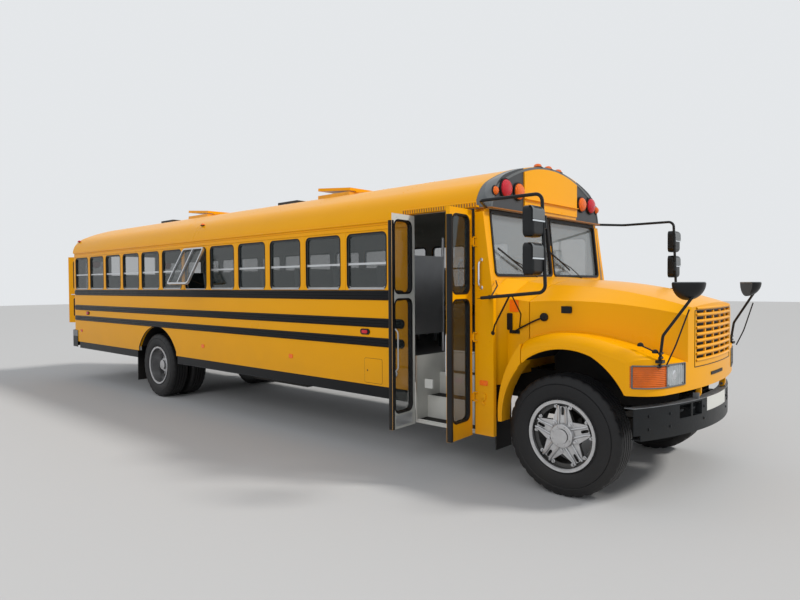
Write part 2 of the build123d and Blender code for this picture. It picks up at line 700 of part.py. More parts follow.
# Front axle beam with its leaf springs, kingpins through the knuckle bosses
wheel_z = tyre_r - ride
eye_h = 90.0
with BuildPart() as front_axle:
    block((front_axle_x - 45, front_axle_x + 45), (-rail_y - 60, rail_y + 60), (400, 470))
    for side in (1, -1):
        y = sorted((side * (rail_y + 59), side * (kingpin_y - 70)))
        block((front_axle_x - 45, front_axle_x + 45), y, (400, 540))
        y = sorted((side * (kingpin_y - 71), side * kingpin_y))
        block((front_axle_x - 36, front_axle_x + 36), y, (wheel_z - eye_h / 2, wheel_z + eye_h / 2))
        with Locations((front_axle_x, side * kingpin_y, wheel_z)):
            Cylinder(40, eye_h)
            Cylinder(kingpin_r, 230)
        ys = sorted((side * (rail_y - 78), side * (rail_y - 2)))
        block((front_axle_x - 640, front_axle_x + 640), ys, (470, 530))
        for x in (front_axle_x - 620, front_axle_x + 600):
            block((x, x + 40), ys, (529, rail_z0 - seam))
save("front_axle", front_axle.part)

# Rear axle housing with its springs, and the propeller shaft from the gearbox
with BuildPart() as rear_axle:
    with BuildSketch(Plane.XZ.offset(-1000)):
        with Locations((rear_axle_x, wheel_z)):
            Circle(spindle_r + 16)
    extrude(amount=2000)
    with BuildSketch(Plane.XZ.offset(-470)):
        with Locations((rear_axle_x, wheel_z)):
            Circle(75)
    extrude(amount=940)
    with Locations((rear_axle_x, 0, wheel_z)):
        Sphere(190)
    with BuildSketch(Plane.YZ.offset(rear_axle_x)):
        with Locations((0, shaft_z)):
            Circle(62)
    extrude(amount=250 - seam)
    with BuildSketch(Plane.YZ.offset(rear_axle_x + 250)):
        with Locations((0, shaft_z)):
            Circle(55)
    extrude(amount=gearbox_x - rear_axle_x - 250)
    for side in (1, -1):
        ys = sorted((side * (rail_y - 78), side * (rail_y - 2)))
        block((rear_axle_x - 700, rear_axle_x + 700), ys, (wheel_z + 70, wheel_z + 135))
        for x in (rear_axle_x - 680, rear_axle_x + 640):
            block((x, x + 40), ys, (wheel_z + 134, rail_z0 - seam))
save("rear_axle", rear_axle.part)

# Steering knuckles: fork round the axle eye, spindle and track arm
fork_gap = 6.0
fork_z = (eye_h / 2 + fork_gap, 115.0)
spindle_y = 1075.0
for side, s in (("left", 1), ("right", -1)):
    with BuildPart() as knuckle:
        for z in (fork_z, (-fork_z[1], -fork_z[0])):
            with Locations((front_axle_x, s * kingpin_y, wheel_z + z[0])):
                Cylinder(42, z[1] - z[0], align=(Align.CENTER, Align.CENTER, Align.MIN))
            y = sorted((s * kingpin_y, s * (kingpin_y + 51)))
            block((front_axle_x - 42, front_axle_x + 42), y, (wheel_z + z[0], wheel_z + z[1]))
        y = sorted((s * (kingpin_y + 50), s * (kingpin_y + 70)))
        block((front_axle_x - 48, front_axle_x + 48), y, (wheel_z - fork_z[1], wheel_z + fork_z[1]))
        with Locations((front_axle_x, s * kingpin_y, wheel_z)):
            Cylinder(kingpin_r + hub_clear, 241, mode=Mode.SUBTRACT)
        with BuildSketch(Plane.XZ.offset(-s * (kingpin_y + 60))):
            with Locations((front_axle_x, wheel_z)):
                Circle(spindle_r)
        extrude(amount=-s * (spindle_y - kingpin_y - 60))
        y = sorted((s * (kingpin_y - 40), s * (kingpin_y - 10)))
        block((front_axle_x - steer_arm - 30, front_axle_x - 25), y, (wheel_z - 115, wheel_z - 97))
    save(f"knuckle_{side}", knuckle.part)

rod_z = wheel_z - 115
with BuildPart() as tie_rod:
    with BuildSketch(Plane.XZ.offset(-(kingpin_y - 5))):
        with Locations((front_axle_x - steer_arm, rod_z - 35)):
            Circle(18)
    extrude(amount=2 * (kingpin_y - 5))
    for side in (1, -1):
        with Locations((front_axle_x - steer_arm, side * (kingpin_y - 25), rod_z - 20)):
            Cylinder(16, 39)
save("tie_rod", tie_rod.part)

# Wheels: rim, star shaped disc and hub in one casting, and the tyre round them. The tyre's columns:
# distance from its middle plane, radius across the flats
tyre_half = (
    (0.38 * tyre_w, tyre_r),
    (0.47 * tyre_w, tyre_r - 32),
    (0.50 * tyre_w, tyre_r - 105),
    (0.41 * tyre_w, rim_r + 14),
)
tyre_line = [(-a, r) for a, r in reversed(tyre_half)] + list(tyre_half)


def tyre_at(x, y):
    """One tyre of flat facets, bored for its rim, with a facet flat on the road."""
    rings = []
    for across, r in tyre_line:
        with BuildSketch(Plane.XZ.offset(-y - across)) as around:
            with Locations((x, wheel_z)):
                RegularPolygon(r, tyre_facets, major_radius=False, rotation=180 / tyre_facets)
        rings.append(around.sketch)
    loft(rings, ruled=True)
    with BuildSketch(Plane.XZ.offset(-y - tyre_w / 2)) as bore:
        with Locations((x, wheel_z)):
            RegularPolygon(rim_r, tyre_facets, major_radius=False, rotation=180 / tyre_facets)
    extrude(bore.sketch, amount=tyre_w, mode=Mode.SUBTRACT)


spokes = 5
spoke_reach = 246.0
star_valley = 150.0
rim_step_r = 238.0          # inner edge of the ring that the spokes end on


def star(x, side, y0, y1):
    """Five spokes that widen to the hub, each with a slot at its end, on a ring inside the rim."""
    corners = []
    for k in range(spokes):
        for turn, r in ((-11, spoke_reach), (11, spoke_reach), (180 / spokes, star_valley)):
            a = radians(90 + 360 / spokes * k + turn)
            corners.append((x + r * cos(a), wheel_z + r * sin(a)))
    with BuildSketch(Plane.XZ.offset(-side * y0)) as face:
        with BuildLine() as outline:
            Polyline(*corners, close=True)
        make_face(outline.edges())
        for k in range(spokes):
            a = 90 + 360 / spokes * k
            with Locations(Location((x + 205 * cos(radians(a)), wheel_z + 205 * sin(radians(a))), a)):
                SlotOverall(70, 26, mode=Mode.SUBTRACT)
    extrude(face.sketch, amount=-side * (y1 - y0))
    ring(x, side, y0, y0 + 18, rim_r - 13, rim_step_r)


def ring(x, side, y0, y1, r_out, r_in=0.0, mode=Mode.ADD):
    """A round collar on the wheel's axis between two distances from the middle of the bus."""
    with BuildSketch(Plane.XZ.offset(-side * y0)) as section:
        with Locations((x, wheel_z)):
            Circle(r_out)
            if r_in:
                Circle(r_in, mode=Mode.SUBTRACT)
    extrude(section.sketch, amount=-side * (y1 - y0), mode=mode)


for side, s in (("left", 1), ("right", -1)):
    with BuildPart() as tyre_front:
        tyre_at(front_axle_x, s * front_track_y)
    save(f"tyre_front_{side}", tyre_front.part)
    with BuildPart() as wheel_front:
        y0, y1 = front_track_y - tyre_w / 2, front_track_y + tyre_w / 2
        ring(front_axle_x, s, y0 + 20, y1 - 20, rim_r - seam, rim_r - 14)
        ring(front_axle_x, s, y0 + 8, y0 + 22, rim_flange_r, rim_r - 14)
        ring(front_axle_x, s, y1 - 22, y1 - 8, rim_flange_r, rim_r - 14)
        star(front_axle_x, s, y1 - 75, y1 - 35)
        ring(front_axle_x, s, kingpin_y + 80, y1 - 15, 95)
        ring(front_axle_x, s, kingpin_y + 80, y1 + 8, 60)
        ring(front_axle_x, s, kingpin_y + 80, y1 - 40, spindle_r + hub_clear, mode=Mode.SUBTRACT)
    save(f"wheel_front_{side}", wheel_front.part)
    with BuildPart() as tyres_rear:
        tyre_at(rear_axle_x, s * dual_outer_y)
        tyre_at(rear_axle_x, s * dual_inner_y)
    save(f"tyres_rear_{side}", tyres_rear.part)
    with BuildPart() as wheel_rear:
        for yc in (dual_outer_y, dual_inner_y):
            y0, y1 = yc - tyre_w / 2, yc + tyre_w / 2
            ring(rear_axle_x, s, y0 + 20, y1 - 20, rim_r - seam, rim_r - 14)
            ring(rear_axle_x, s, y0 + 8, y0 + 22, rim_flange_r, rim_r - 14)
            ring(rear_axle_x, s, y1 - 22, y1 - 8, rim_flange_r, rim_r - 14)
        ring(rear_axle_x, s, dual_inner_y + 60, dual_outer_y + 20, 110)
        ring(rear_axle_x, s, dual_outer_y + 19, dual_outer_y + 60, 75)
        star(rear_axle_x, s, dual_outer_y - 120, dual_outer_y - 75)
        star(rear_axle_x, s, dual_inner_y + 80, dual_inner_y + 120)
        ring(
            rear_axle_x, s, dual_inner_y + 59, dual_outer_y + 15,
            spindle_r + 16 + hub_clear, mode=Mode.SUBTRACT
        )
    save(f"wheel_rear_{side}", wheel_rear.part)

# Mud flaps behind the wheels
with BuildPart() as mud_flaps:
    for y in both(560, body_w - 50):
        block((rear_axle_x - 700, rear_axle_x - 690), y, (155, 880))
    for y in both(rail_y + seam, 561):
        block((rear_axle_x - 720, rear_axle_x - 690), y, (820, 860))
    for y in both(870, body_w - 60):
        block((front_axle_x - 640, front_axle_x - 630), y, (230, cowl_low - seam))
save("mud_flaps", mud_flaps.part)

# Bumpers
bumper_z = (515.0, 770.0)
bumper_y = body_w - 25.0
bumper_sweep = 275.0        # how far the bumper's ends stand back
bumper_t = 8.0
# Holes in the bumper, columns: inner side, outer side, how far behind the bumper's middle they start
bumper_slots = ((360.0, 510.0, 72.0), (530.0, 690.0, 118.0))


def bumper_band(front, back, z0, z1, mode):
    """Bowed bar between two offsets behind the bumper's face."""
    with BuildSketch(Plane.XY.offset(z0)) as band:
        with BuildLine() as outline:
            x0, x1 = bumper_x1 - bumper_sweep - front, bumper_x1 - bumper_sweep - back
            ThreePointArc((x0, -bumper_y), (bumper_x1 - front, 0), (x0, bumper_y))
            Line((x0, bumper_y), (x1, bumper_y))
            ThreePointArc((x1, bumper_y), (bumper_x1 - back, 0), (x1, -bumper_y))
            Line((x1, -bumper_y), (x0, -bumper_y))
        make_face(outline.edges())
    extrude(band.sketch, amount=z1 - z0, mode=mode)


with BuildPart() as bumper_brackets:
    for s in (1, -1):
        y = sorted((s * (rail_y - rail_flange), s * rail_y))
        block((rail_x1 + seam, bumper_x1), y, tow_z)
    bumper_band(2, 400, 0, 1000, Mode.INTERSECT)
    for y in both(hood_arm_y + 35, hood_arm_y + 55):
        block((hood_pivot_x - 25, hood_pivot_x + 22), y, (bumper_z[1] - 4, hood_pivot_z + 16))

with BuildPart() as front_bumper:
    bumper_band(0, 75, *bumper_z, Mode.ADD)
    bumper_band(bumper_t, 76, bumper_z[0] + bumper_t, bumper_z[1] - bumper_t, Mode.SUBTRACT)
    for y in both(bumper_y - 60, bumper_y + 1):
        block((bumper_x1 - 400, bumper_x1), y, (bumper_z[0] - 1, bumper_z[0] + 45), Mode.SUBTRACT)
    add(bumper_brackets.part)
    for y0, y1, behind in bumper_slots:
        for y in both(y0, y1):
            block((bumper_x1 - behind, bumper_x1), y, (645, 752), Mode.SUBTRACT)
    for s in (1, -1):
        with BuildSketch(Plane.XZ.offset(-s * (hood_arm_y + 36))):
            with Locations((hood_pivot_x, hood_pivot_z)):
                Circle(pin_r)
        extrude(amount=s * 40)
        with Locations((tow_x, s * tow_y, (tow_z[0] + tow_z[1]) / 2)):
            Cylinder(tow_r, tow_z[1] - tow_z[0] + 2, mode=Mode.SUBTRACT)
    with BuildSketch(Plane.YZ.offset(bumper_x1 - 40)):
        with Locations((-plate_hole_y, plate_hole_z), (plate_hole_y, plate_hole_z)):
            Circle(plate_hole_r)
    extrude(amount=60, mode=Mode.SUBTRACT)
save("front_bumper", front_bumper.part)

with BuildPart() as rear_bumper:
    with BuildSketch(Plane.XY.offset(560)):
        with BuildLine():
            Polyline(
                (rear_x + 200, -body_w - 12),
                (rear_x - 20, -body_w - 12),
                (rear_x - 110, -body_w + 90),
                (rear_x - 110, body_w - 90),
                (rear_x - 20, body_w + 12),
                (rear_x + 200, body_w + 12),
                (rear_x + 200, body_w + 4),
                (rear_x - 16, body_w + 4),
                (rear_x - 102, body_w - 94),
                (rear_x - 102, -body_w + 94),
                (rear_x - 16, -body_w - 4),
                (rear_x + 200, -body_w - 4),
                (rear_x + 200, -body_w - 12),
            )
        make_face()
    extrude(amount=320)
    for y in both(rail_y - rail_flange, rail_y):
        block((rear_x - 103, rail_x0 - seam), y, (rail_z0 + 20, rail_z1 - 90))
save("rear_bumper", rear_bumper.part)

# Lamps
with BuildPart() as red_lamps:
    for y in (-882, 882):
        for x0, x1 in ((header_x[1] + seam, header_x[1] + 60), (rear_x - 60, rear_x - seam)):
            with Locations(
                Plane(((x0 + x1) / 2, y if x0 > 0 else y * 0.85, 2595 if x0 > 0 else 2180), z_dir=(1, 0, 0))
            ):
                Cylinder(88, x1 - x0)
    for y in both(820, 960):
        block((rear_x - 30, rear_x - seam), y, (1180, 1320))
save("red_lamps", red_lamps.part)

with BuildPart() as amber_lamps:
    for y in (-658, 658):
        with Locations(Plane((header_x[1] + seam + 27.5, y, 2590), z_dir=(1, 0, 0))):
            Cylinder(80, 55)
save("amber_lamps", amber_lamps.part)

hatch_hinge = 20.0
with BuildPart() as roof_vents:
    for x in (post_x + 1800, post_x + 5430):
        block((x - 225, x + 225), (-200, 200), (crown_z - 30, crown_z + 45))
    for x in hatch_x:
        block(
            (x - hatch_half - 30, x + hatch_half + 30),
            (-hatch_half - 30, hatch_half + 30), (crown_z - 40, crown_z + 30)
        )
        block(
            (x - hatch_half, x + hatch_half), (-hatch_half, hatch_half),
            (crown_z - 60, crown_z + 31), Mode.SUBTRACT
        )
        for y in both(150, 165):
            block(
                (x + hatch_half + 20, x + hatch_half + 30 + hatch_hinge + 5), y, (crown_z + 5, crown_z + 35)
            )
            with BuildSketch(Plane.XZ.offset(-y[0] - 60)):
                with Locations((x + hatch_half + 30 + hatch_hinge, crown_z + 30)):
                    Circle(4)
            extrude(amount=105)
    with BuildSketch(Plane.YZ.offset(roof_x0)) as seat:
        arch_line(body_w + seam, eave_z, crown_z + seam, shoulder_r + seam)
    extrude(seat.sketch, amount=cab_x1 - roof_x0, mode=Mode.SUBTRACT)
save("roof_vents", roof_vents.part)

# Roof hatches, hinged at their front edge
hatch_open = 5.0
for name, x in (("rear", hatch_x[0]), ("front", hatch_x[1])):
    pivot = Plane((x + hatch_half + 30 + hatch_hinge, 0, crown_z + 30)).rotated((0, hatch_open, 0))
    with BuildPart() as hatch:
        with Locations(pivot):
            block((-2 * hatch_half - 60 - hatch_hinge, -4), (-hatch_half - 30, hatch_half + 30), (7, 45))
            for y in both(175, 215):
                block((-12, 8), y, (-8, 14))
            with Locations(Location((0, 0, 0), (90, 0, 0))):
                Cylinder(4 + hinge_clear, 500, mode=Mode.SUBTRACT)
    save(f"hatch_{name}", hatch.part)

# Tilting hood: lofted hood, crested fenders and the wheel arches, in one moulded shell
# Fender crest, columns: station from the rearmost window post, height
fender_crest = (
    (9800, 1180), (9980, 1262), (10280, 1305), (10560, 1272), (10840, 1190), (11060, 1100), (11180, 1040)
)
fender_round = (150.0, 95.0)
# Corner of the nose from above, columns: station, distance in from the fender's side
plan_points = ((10804, 0), (10955, 86), (11030, 218))
lamp_z = (923.0, 1088.0)
lamp_split_x = post_x + 11034.0
lamp_x0 = post_x + 10835.0
lamp_y0 = 672.0
grille_y = 500.0
grille_z = (1040.0, 1490.0)
grille_rows = 8
grille_columns = 5
slot_z0 = 1115.0            # lowest row of slots
slot_pitch = 52.6
slot_size = (172.0, 26.0)
upright = 20.0              # bar between two slots of a row


def fenders(inset):
    """Both fenders in one slab, lofted along the crest, with rounded outer edges."""
    w = fender_y - inset
    round_y, round_z = fender_round
    with BuildPart() as slab:
        for x, crest in fender_crest:
            top = crest - inset
            with BuildSketch(Plane.YZ.offset(post_x + x)) as section:
                with BuildLine() as outline:
                    Polyline((-w, top - round_z), (-w, nose_low), (w, nose_low), (w, top - round_z))
                    bend = (w - 0.3 * round_y, top - 0.3 * round_z)
                    ThreePointArc((w, top - round_z), bend, (w - round_y, top))
                    Line((w - round_y, top), (round_y - w, top))
                    ThreePointArc((round_y - w, top), (-bend[0], bend[1]), (-w, top - round_z))
                make_face(outline.edges())
        loft()
    return slab.part


def nose_plan(inset):
    """The nose seen from above: square behind, bowed in front, with rounded corners."""
    a, b, c = [(post_x + x, fender_y - y) for x, y in plan_points]
    a = (a[0], a[1] - inset)
    b = (b[0] - inset / 2, b[1] - inset / 2)
    c = (c[0] - inset, c[1] - inset)
    with BuildPart() as above:
        with BuildSketch(Plane.XY.offset(nose_low - 20)) as outline_face:
            with BuildLine() as outline:
                Polyline((a[0], -a[1]), (hood_x0, -a[1]), (hood_x0, a[1]), a)
                ThreePointArc(a, b, c)
                ThreePointArc(c, (nose_tip_x - inset, 0), (c[0], -c[1]))
                ThreePointArc((c[0], -c[1]), (b[0], -b[1]), (a[0], -a[1]))
            make_face(outline.edges())
        extrude(outline_face.sketch, amount=1000)
    return above.part


def nose_solid(inset):
    return (nose_body(hood_sections, valley_z, inset, False) + fenders(inset)) & nose_plan(inset)


nose_outer = nose_solid(0.0)
nose_skin = nose_outer - nose_solid(hood_wall)
with BuildPart() as hood_shell:
    add(nose_skin)
    for y in both(600, fender_y + 5):
        add(wheel_arch(y), mode=Mode.SUBTRACT)
    block((hood_x1 - 100, nose_tip_x + 5), (-grille_y, grille_y), grille_z, Mode.SUBTRACT)
    for y in both(lamp_y0, fender_y + 5):
        block((lamp_x0, nose_tip_x), y, lamp_z, Mode.SUBTRACT)
    for y in both(hood_arm_y, hood_arm_y + 20):
        block((hood_pivot_x - 12, hood_x1 - 2), y, (hood_pivot_z + 6, 905))
        with BuildSketch(Plane.XZ.offset(-y[1])):
            with Locations((hood_pivot_x, hood_pivot_z)):
                Circle(2 * pin_r)
        extrude(amount=20)
        with BuildSketch(Plane.XZ.offset(-y[1] - 1)):
            with Locations((hood_pivot_x, hood_pivot_z)):
                Circle(pin_r + hub_clear)
        extrude(amount=22, mode=Mode.SUBTRACT)
save("hood_shell", hood_shell.part)

# Grille: the piece of the nose's own surface inside the opening, with rows of slots
with BuildPart() as grille:
    add(nose_skin)
    block(
        (hood_x1 - 99, nose_tip_x + 5), (seam - grille_y, grille_y - seam),
        (grille_z[0] + seam, grille_z[1] - seam), Mode.INTERSECT,
    )
    for i in range(grille_rows):
        z = slot_z0 + i * slot_pitch - slot_size[1] / 2
        for k in range(grille_columns):
            y = (k - (grille_columns - 1) / 2) * (slot_size[0] + upright)
            half = slot_size[0] / 2
            block((hood_x1 - 90, nose_tip_x + 5), (y - half, y + half), (z, z + slot_size[1]), Mode.SUBTRACT)
save("grille", grille.part)

# Lamps that wrap the nose's corners: clear in front, amber at the side
with BuildPart() as headlamps:
    for y in both(lamp_y0 + seam, fender_y + 5):
        with BuildPart() as lens:
            add(nose_skin)
            block((lamp_split_x + seam, nose_tip_x), y, (lamp_z[0] + seam, lamp_z[1] - seam), Mode.INTERSECT)
        add(lens.part)
save("headlamps", headlamps.part)

with BuildPart() as turn_lamps:
    for y in both(900, fender_y + 5):
        with BuildPart() as lens:
            add(nose_skin)
            block((lamp_x0 + seam, lamp_split_x), y, (lamp_z[0] + seam, lamp_z[1] - seam), Mode.INTERSECT)
        add(lens.part)
save("turn_lamps", turn_lamps.part)

# Crossview mirrors: half bowls on bent tubes that stand on the fenders
crossview = (post_x + 11162.0, 880.0, 1715.0)
crossview_r = 130.0
mirror_tube_r = 11.0
with BuildPart() as hood_mirrors:
    for s in (1, -1):
        foot = (hood_x1 - 125, s * 985, 1060)
        knee = (hood_x1 - 90, s * 1000, 1320)
        tip = (crossview[0] + 62, s * (crossview[1] + 45), crossview[2] - 92)
        with BuildLine() as tube_line:
            FilletPolyline(foot, knee, tip, radius=60)
        with BuildSketch(Plane(foot, z_dir=Vector(*knee) - Vector(*foot))) as tube:
            Circle(mirror_tube_r)
        sweep(tube.sketch, path=tube_line.wire())
        with BuildPart() as bowl:
            with Locations(Plane((crossview[0], s * crossview[1], crossview[2])).rotated((0, 0, s * 36))):
                Sphere(crossview_r)
                block(
                    (-2 * crossview_r, 0), (-crossview_r, crossview_r),
                    (-crossview_r, crossview_r), Mode.SUBTRACT
                )
                block((-1, crossview_r), (-crossview_r, crossview_r), (0, crossview_r), Mode.SUBTRACT)
        add(bowl.part)
    add(nose_outer, mode=Mode.SUBTRACT)
save("hood_mirrors", hood_mirrors.part)

# Mirrors beside the cab: loop of tube and two heads on each side
loop_y = 1490.0
loop_r = 14.0
# Loop, columns: station from the rearmost window post, distance out, height
loop_rows = (
    (9600, body_w + 6, 1600),
    (9720, loop_y, 1600),
    (10320, loop_y, 1650),
    (10290, loop_y, 2410),
    (9720, loop_y, 2410),
    (9540, body_w - 34, 2405),
)
head_w = 190.0
head_rows = ((1905.0, 250.0), (2190.0, 240.0))  # middle, height
with BuildPart() as side_mirrors:
    for s in (1, -1):
        points = [(post_x + x, s * y, z) for x, y, z in loop_rows]
        with BuildLine() as tube_line:
            FilletPolyline(*points, radius=60)
        with BuildSketch(Plane(points[0], z_dir=Vector(*points[1]) - Vector(*points[0]))) as tube:
            Circle(loop_r)
        sweep(tube.sketch, path=tube_line.wire())
        for z, high in head_rows:
            with BuildPart() as head:
                with BuildSketch(Plane.YZ.offset(post_x + 10228)) as back:
                    with Locations((s * (loop_y + head_w / 2 - 8), z)):
                        RectangleRounded(head_w, high, 45)
                extrude(back.sketch, amount=82)
                fillet(head.faces().sort_by(Axis.X)[-1].edges(), 35)
            add(head.part)
save("side_mirrors", side_mirrors.part)

# Grab rails and the driver's barrier
with BuildPart() as grab_rails:
    for y in (-1080, -600):
        with BuildSketch(Plane((door_x0 - 60, y, floor_z + seam))):
            Circle(16)
        extrude(amount=1200)
    block((door_x0 - 70, door_x0 - 50), (-1080, -600), (floor_z + 200, floor_z + 1000))
    block((door_x0 - 70, door_x0 - 50), (300, 1080), (floor_z + seam, floor_z + 1000))
save("grab_rails", grab_rails.part)

# Entrance door leaves, drawn shut about their hinge lines and turned open; two rounded lights each
leaf_z = (door_z0 + 15, door_z1 - 15)
leaf_lights = ((500.0, 1578.0), (1635.0, leaf_z[1] - 60))
leaf_light_x = (leaf_gap + 50, leaf_w - 40)
leaf_light_r = 60.0
leaf_rows = (
    ("rear", door_x0 + hinge_in, 1, -rear_leaf_open),
    ("front", door_x1 - hinge_in, -1, front_leaf_open),
)


def leaf_openings(s, at, depth, shrink, mode=Mode.ADD):
    """Both lights of a leaf as rounded slabs, from at towards -Y."""
    across = leaf_light_x[1] - leaf_light_x[0] - 2 * shrink
    for z0, z1 in leaf_lights:
        with BuildSketch(Plane.XZ.offset(-at)) as light:
            with Locations((s * sum(leaf_light_x) / 2, (z0 + z1) / 2)):
                RectangleRounded(across, z1 - z0 - 2 * shrink, leaf_light_r - shrink)
        extrude(light.sketch, amount=depth, mode=mode)


for name, hx, s, turn in leaf_rows:
    place = Location((hx, hinge_y, 0), (0, 0, turn))
    with BuildPart() as leaf:
        block(sorted((s * leaf_gap, s * leaf_w)), (hinge_out, hinge_out + leaf_t), leaf_z)
        leaf_openings(s, hinge_out + leaf_t + 1, leaf_t + 2, 0.0, Mode.SUBTRACT)
        for z in leaf_hinge_z:
            with Locations((0, 0, z)):
                Cylinder(hinge_eye_r, 60)
            block(sorted((0, s * 14)), (0, hinge_out + 4), (z - 30, z + 30))
            with Locations((0, 0, z)):
                Cylinder(hinge_pin_r + hinge_clear, 61, mode=Mode.SUBTRACT)
    save(f"door_leaf_{name}", place * leaf.part)
    with BuildPart() as leaf_glass:
        leaf_openings(s, hinge_out + leaf_t / 2 + glass_t / 2, glass_t, seam)
    save(f"door_glass_{name}", place * leaf_glass.part)

# Rear emergency door, hinged on the right
escape_place = Plane((rear_x - hinge_out, -escape_y - hinge_in, 0)).rotated((0, 0, escape_open))
with BuildPart() as escape_door:
    with Locations(escape_place):
        block((hinge_out, hinge_out + wall), (11, escape_w - 2), (escape_z0, escape_z1))
        block((hinge_out - 1, hinge_out + wall + 1), (120, escape_w - 120), (1690, 2230), Mode.SUBTRACT)
        block((hinge_out - 1, hinge_out + wall + 1), (120, escape_w - 120), (1130, 1470), Mode.SUBTRACT)
        for z in escape_hinge_z:
            with Locations((0, 0, z)):
                Cylinder(hinge_eye_r, 60)
            block((0, hinge_out - 3), (0, 16), (z - 30, z + 30))
            block((0, hinge_out + 4), (10, 16), (z - 30, z + 30))
            with Locations((0, 0, z)):
                Cylinder(hinge_pin_r + hinge_clear, 61, mode=Mode.SUBTRACT)
save("escape_door", escape_door.part)

with BuildPart() as escape_glass:
    with Locations(escape_place):
        for z in ((1690 + seam, 2230 - seam), (1130 + seam, 1470 - seam)):
            block((30, 36), (120 + seam, escape_w - 120 - seam), z)
save("escape_glass", escape_glass.part)

# Stop arm on the left, folded against the side
with BuildPart() as stop_arm:
    with BuildSketch(Plane.XZ.offset(-(body_w + 50))):
        with Locations((door_x0 - 300, 1465)):
            RegularPolygon(225, 8, rotation=22.5)
        with Locations((door_x0 - 50, 1465)):
            Rectangle(110, 90)
    extrude(amount=10)
    with Locations((door_x0 + 6, body_w + 45, 1465)):
        Cylinder(hinge_eye_r, 90)
        Cylinder(hinge_pin_r + hinge_clear, 91, mode=Mode.SUBTRACT)
save("stop_arm", stop_arm.part)
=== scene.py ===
"""School bus: finish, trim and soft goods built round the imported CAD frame."""
import json
import math
from types import SimpleNamespace

import bmesh
import bpy
from mathutils import Matrix, Vector


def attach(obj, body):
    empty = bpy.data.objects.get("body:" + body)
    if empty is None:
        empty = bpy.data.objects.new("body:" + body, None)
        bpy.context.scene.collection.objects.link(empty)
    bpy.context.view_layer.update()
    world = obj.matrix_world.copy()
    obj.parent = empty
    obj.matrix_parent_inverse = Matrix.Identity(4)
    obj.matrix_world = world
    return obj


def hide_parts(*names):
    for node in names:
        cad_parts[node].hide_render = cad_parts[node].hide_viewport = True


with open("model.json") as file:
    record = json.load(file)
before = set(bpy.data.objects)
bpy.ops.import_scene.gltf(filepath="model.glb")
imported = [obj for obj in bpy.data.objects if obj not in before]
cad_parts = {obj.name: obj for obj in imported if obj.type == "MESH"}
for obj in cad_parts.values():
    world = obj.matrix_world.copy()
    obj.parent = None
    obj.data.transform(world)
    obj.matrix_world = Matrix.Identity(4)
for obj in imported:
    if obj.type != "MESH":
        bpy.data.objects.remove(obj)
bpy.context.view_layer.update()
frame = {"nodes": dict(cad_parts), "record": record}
NODES = frame["nodes"]

# Metres. Pieces are drawn from the rearmost window post and the body's datum, then moved by OFFSET
POST_X = -5.20264
RIDE = 0.045
OFFSET = Vector((POST_X, 0.0, RIDE))
PITCH = 0.7
BAYS = 12
HALF = 1.18  # half the body's width
SKIN = 1.1803  # just proud of the side panels
WINDOW_Z = 1.9665  # middle of the side windows
PANE = (0.600, 0.601, 0.066)  # their openings' width, height and corner
CAB_WINDOW_Z = 1.9465  # middle of the driver's window and of the rear ones
HATCH_X = (3.10, 6.56)
DOOR_X = 8.68  # rear edge of the doorway
PUSHED_OUT = 6  # bay of the open window on the right
LAST_BENCH = 11  # on the right only
CLOTH_FRAMES = 20
AXLE_F = 10.26
AXLE_R = 3.25
WHEEL_Z = 0.458
TRACK = (0.995, 0.678)  # outer and inner tyre
STOP_SIGN = (8.38, 1.465)
FRONT_X = 9.60  # the cab's front below the windscreen
SCREEN_FOOT = 1.70
NOSE_HALF = 0.934
NOSE_CORNER = ((11.030, 0.934), (10.955, 1.066), (10.804, 1.152))
ARCH = ((9.697, 0.505), (9.760, 0.832), (9.957, 1.089), (10.230, 1.184), (10.528, 1.146), (10.700, 1.010),
        (10.803, 0.864))
HINGE_Y = -1.19
LEAF = {"rear": (8.685, 1, -85.0), "front": (9.435, -1, 94.0)}
RAILS = ((1.556, 1.660), (1.272, 1.369), (1.073, 1.166))


def link(obj):
    """Adds an object to the scene."""
    bpy.context.scene.collection.objects.link(obj)


# Camera, floor and light
def make_camera():
    """The photograph's viewpoint: a wide lens at eye height off the front right corner."""
    yaw, pitch, roll = (math.radians(a) for a in (42.2305, 1.3954, -0.3423))
    data = bpy.data.cameras.new("camera")
    data.sensor_width = 36.0
    data.lens = 27.41
    data.clip_end = 200.0
    cam = bpy.data.objects.new("camera", data)
    forward = Vector((-math.sin(yaw) * math.cos(pitch), math.cos(yaw) * math.cos(pitch), -math.sin(pitch)))
    right = forward.cross(Vector((0, 0, 1))).normalized()
    up = right.cross(forward)
    right, up = (
        right * math.cos(roll) + up * math.sin(roll),
        up * math.cos(roll) - right * math.sin(roll),
    )
    turn = Matrix((right, up, -forward)).transposed().to_4x4()
    cam.matrix_world = Matrix.Translation(Vector((12.638, -5.707, 1.711)) + OFFSET) @ turn
    link(cam)
    bpy.context.scene.camera = cam


def put(node, values):
    """Sets a shader node's inputs."""
    for key, value in values.items():
        node.inputs[key].default_value = value


def area_light(name, place, target, size, power, colour):
    data = bpy.data.lights.new(name, "AREA")
    data.shape = "DISK"
    data.size = size
    data.energy = power
    data.color = colour
    lamp = bpy.data.objects.new(name, data)
    lamp.location = place
    lamp.rotation_euler = (Vector(target) - Vector(place)).to_track_quat("-Z", "Y").to_euler()
    lamp.visible_glossy = False
    link(lamp)


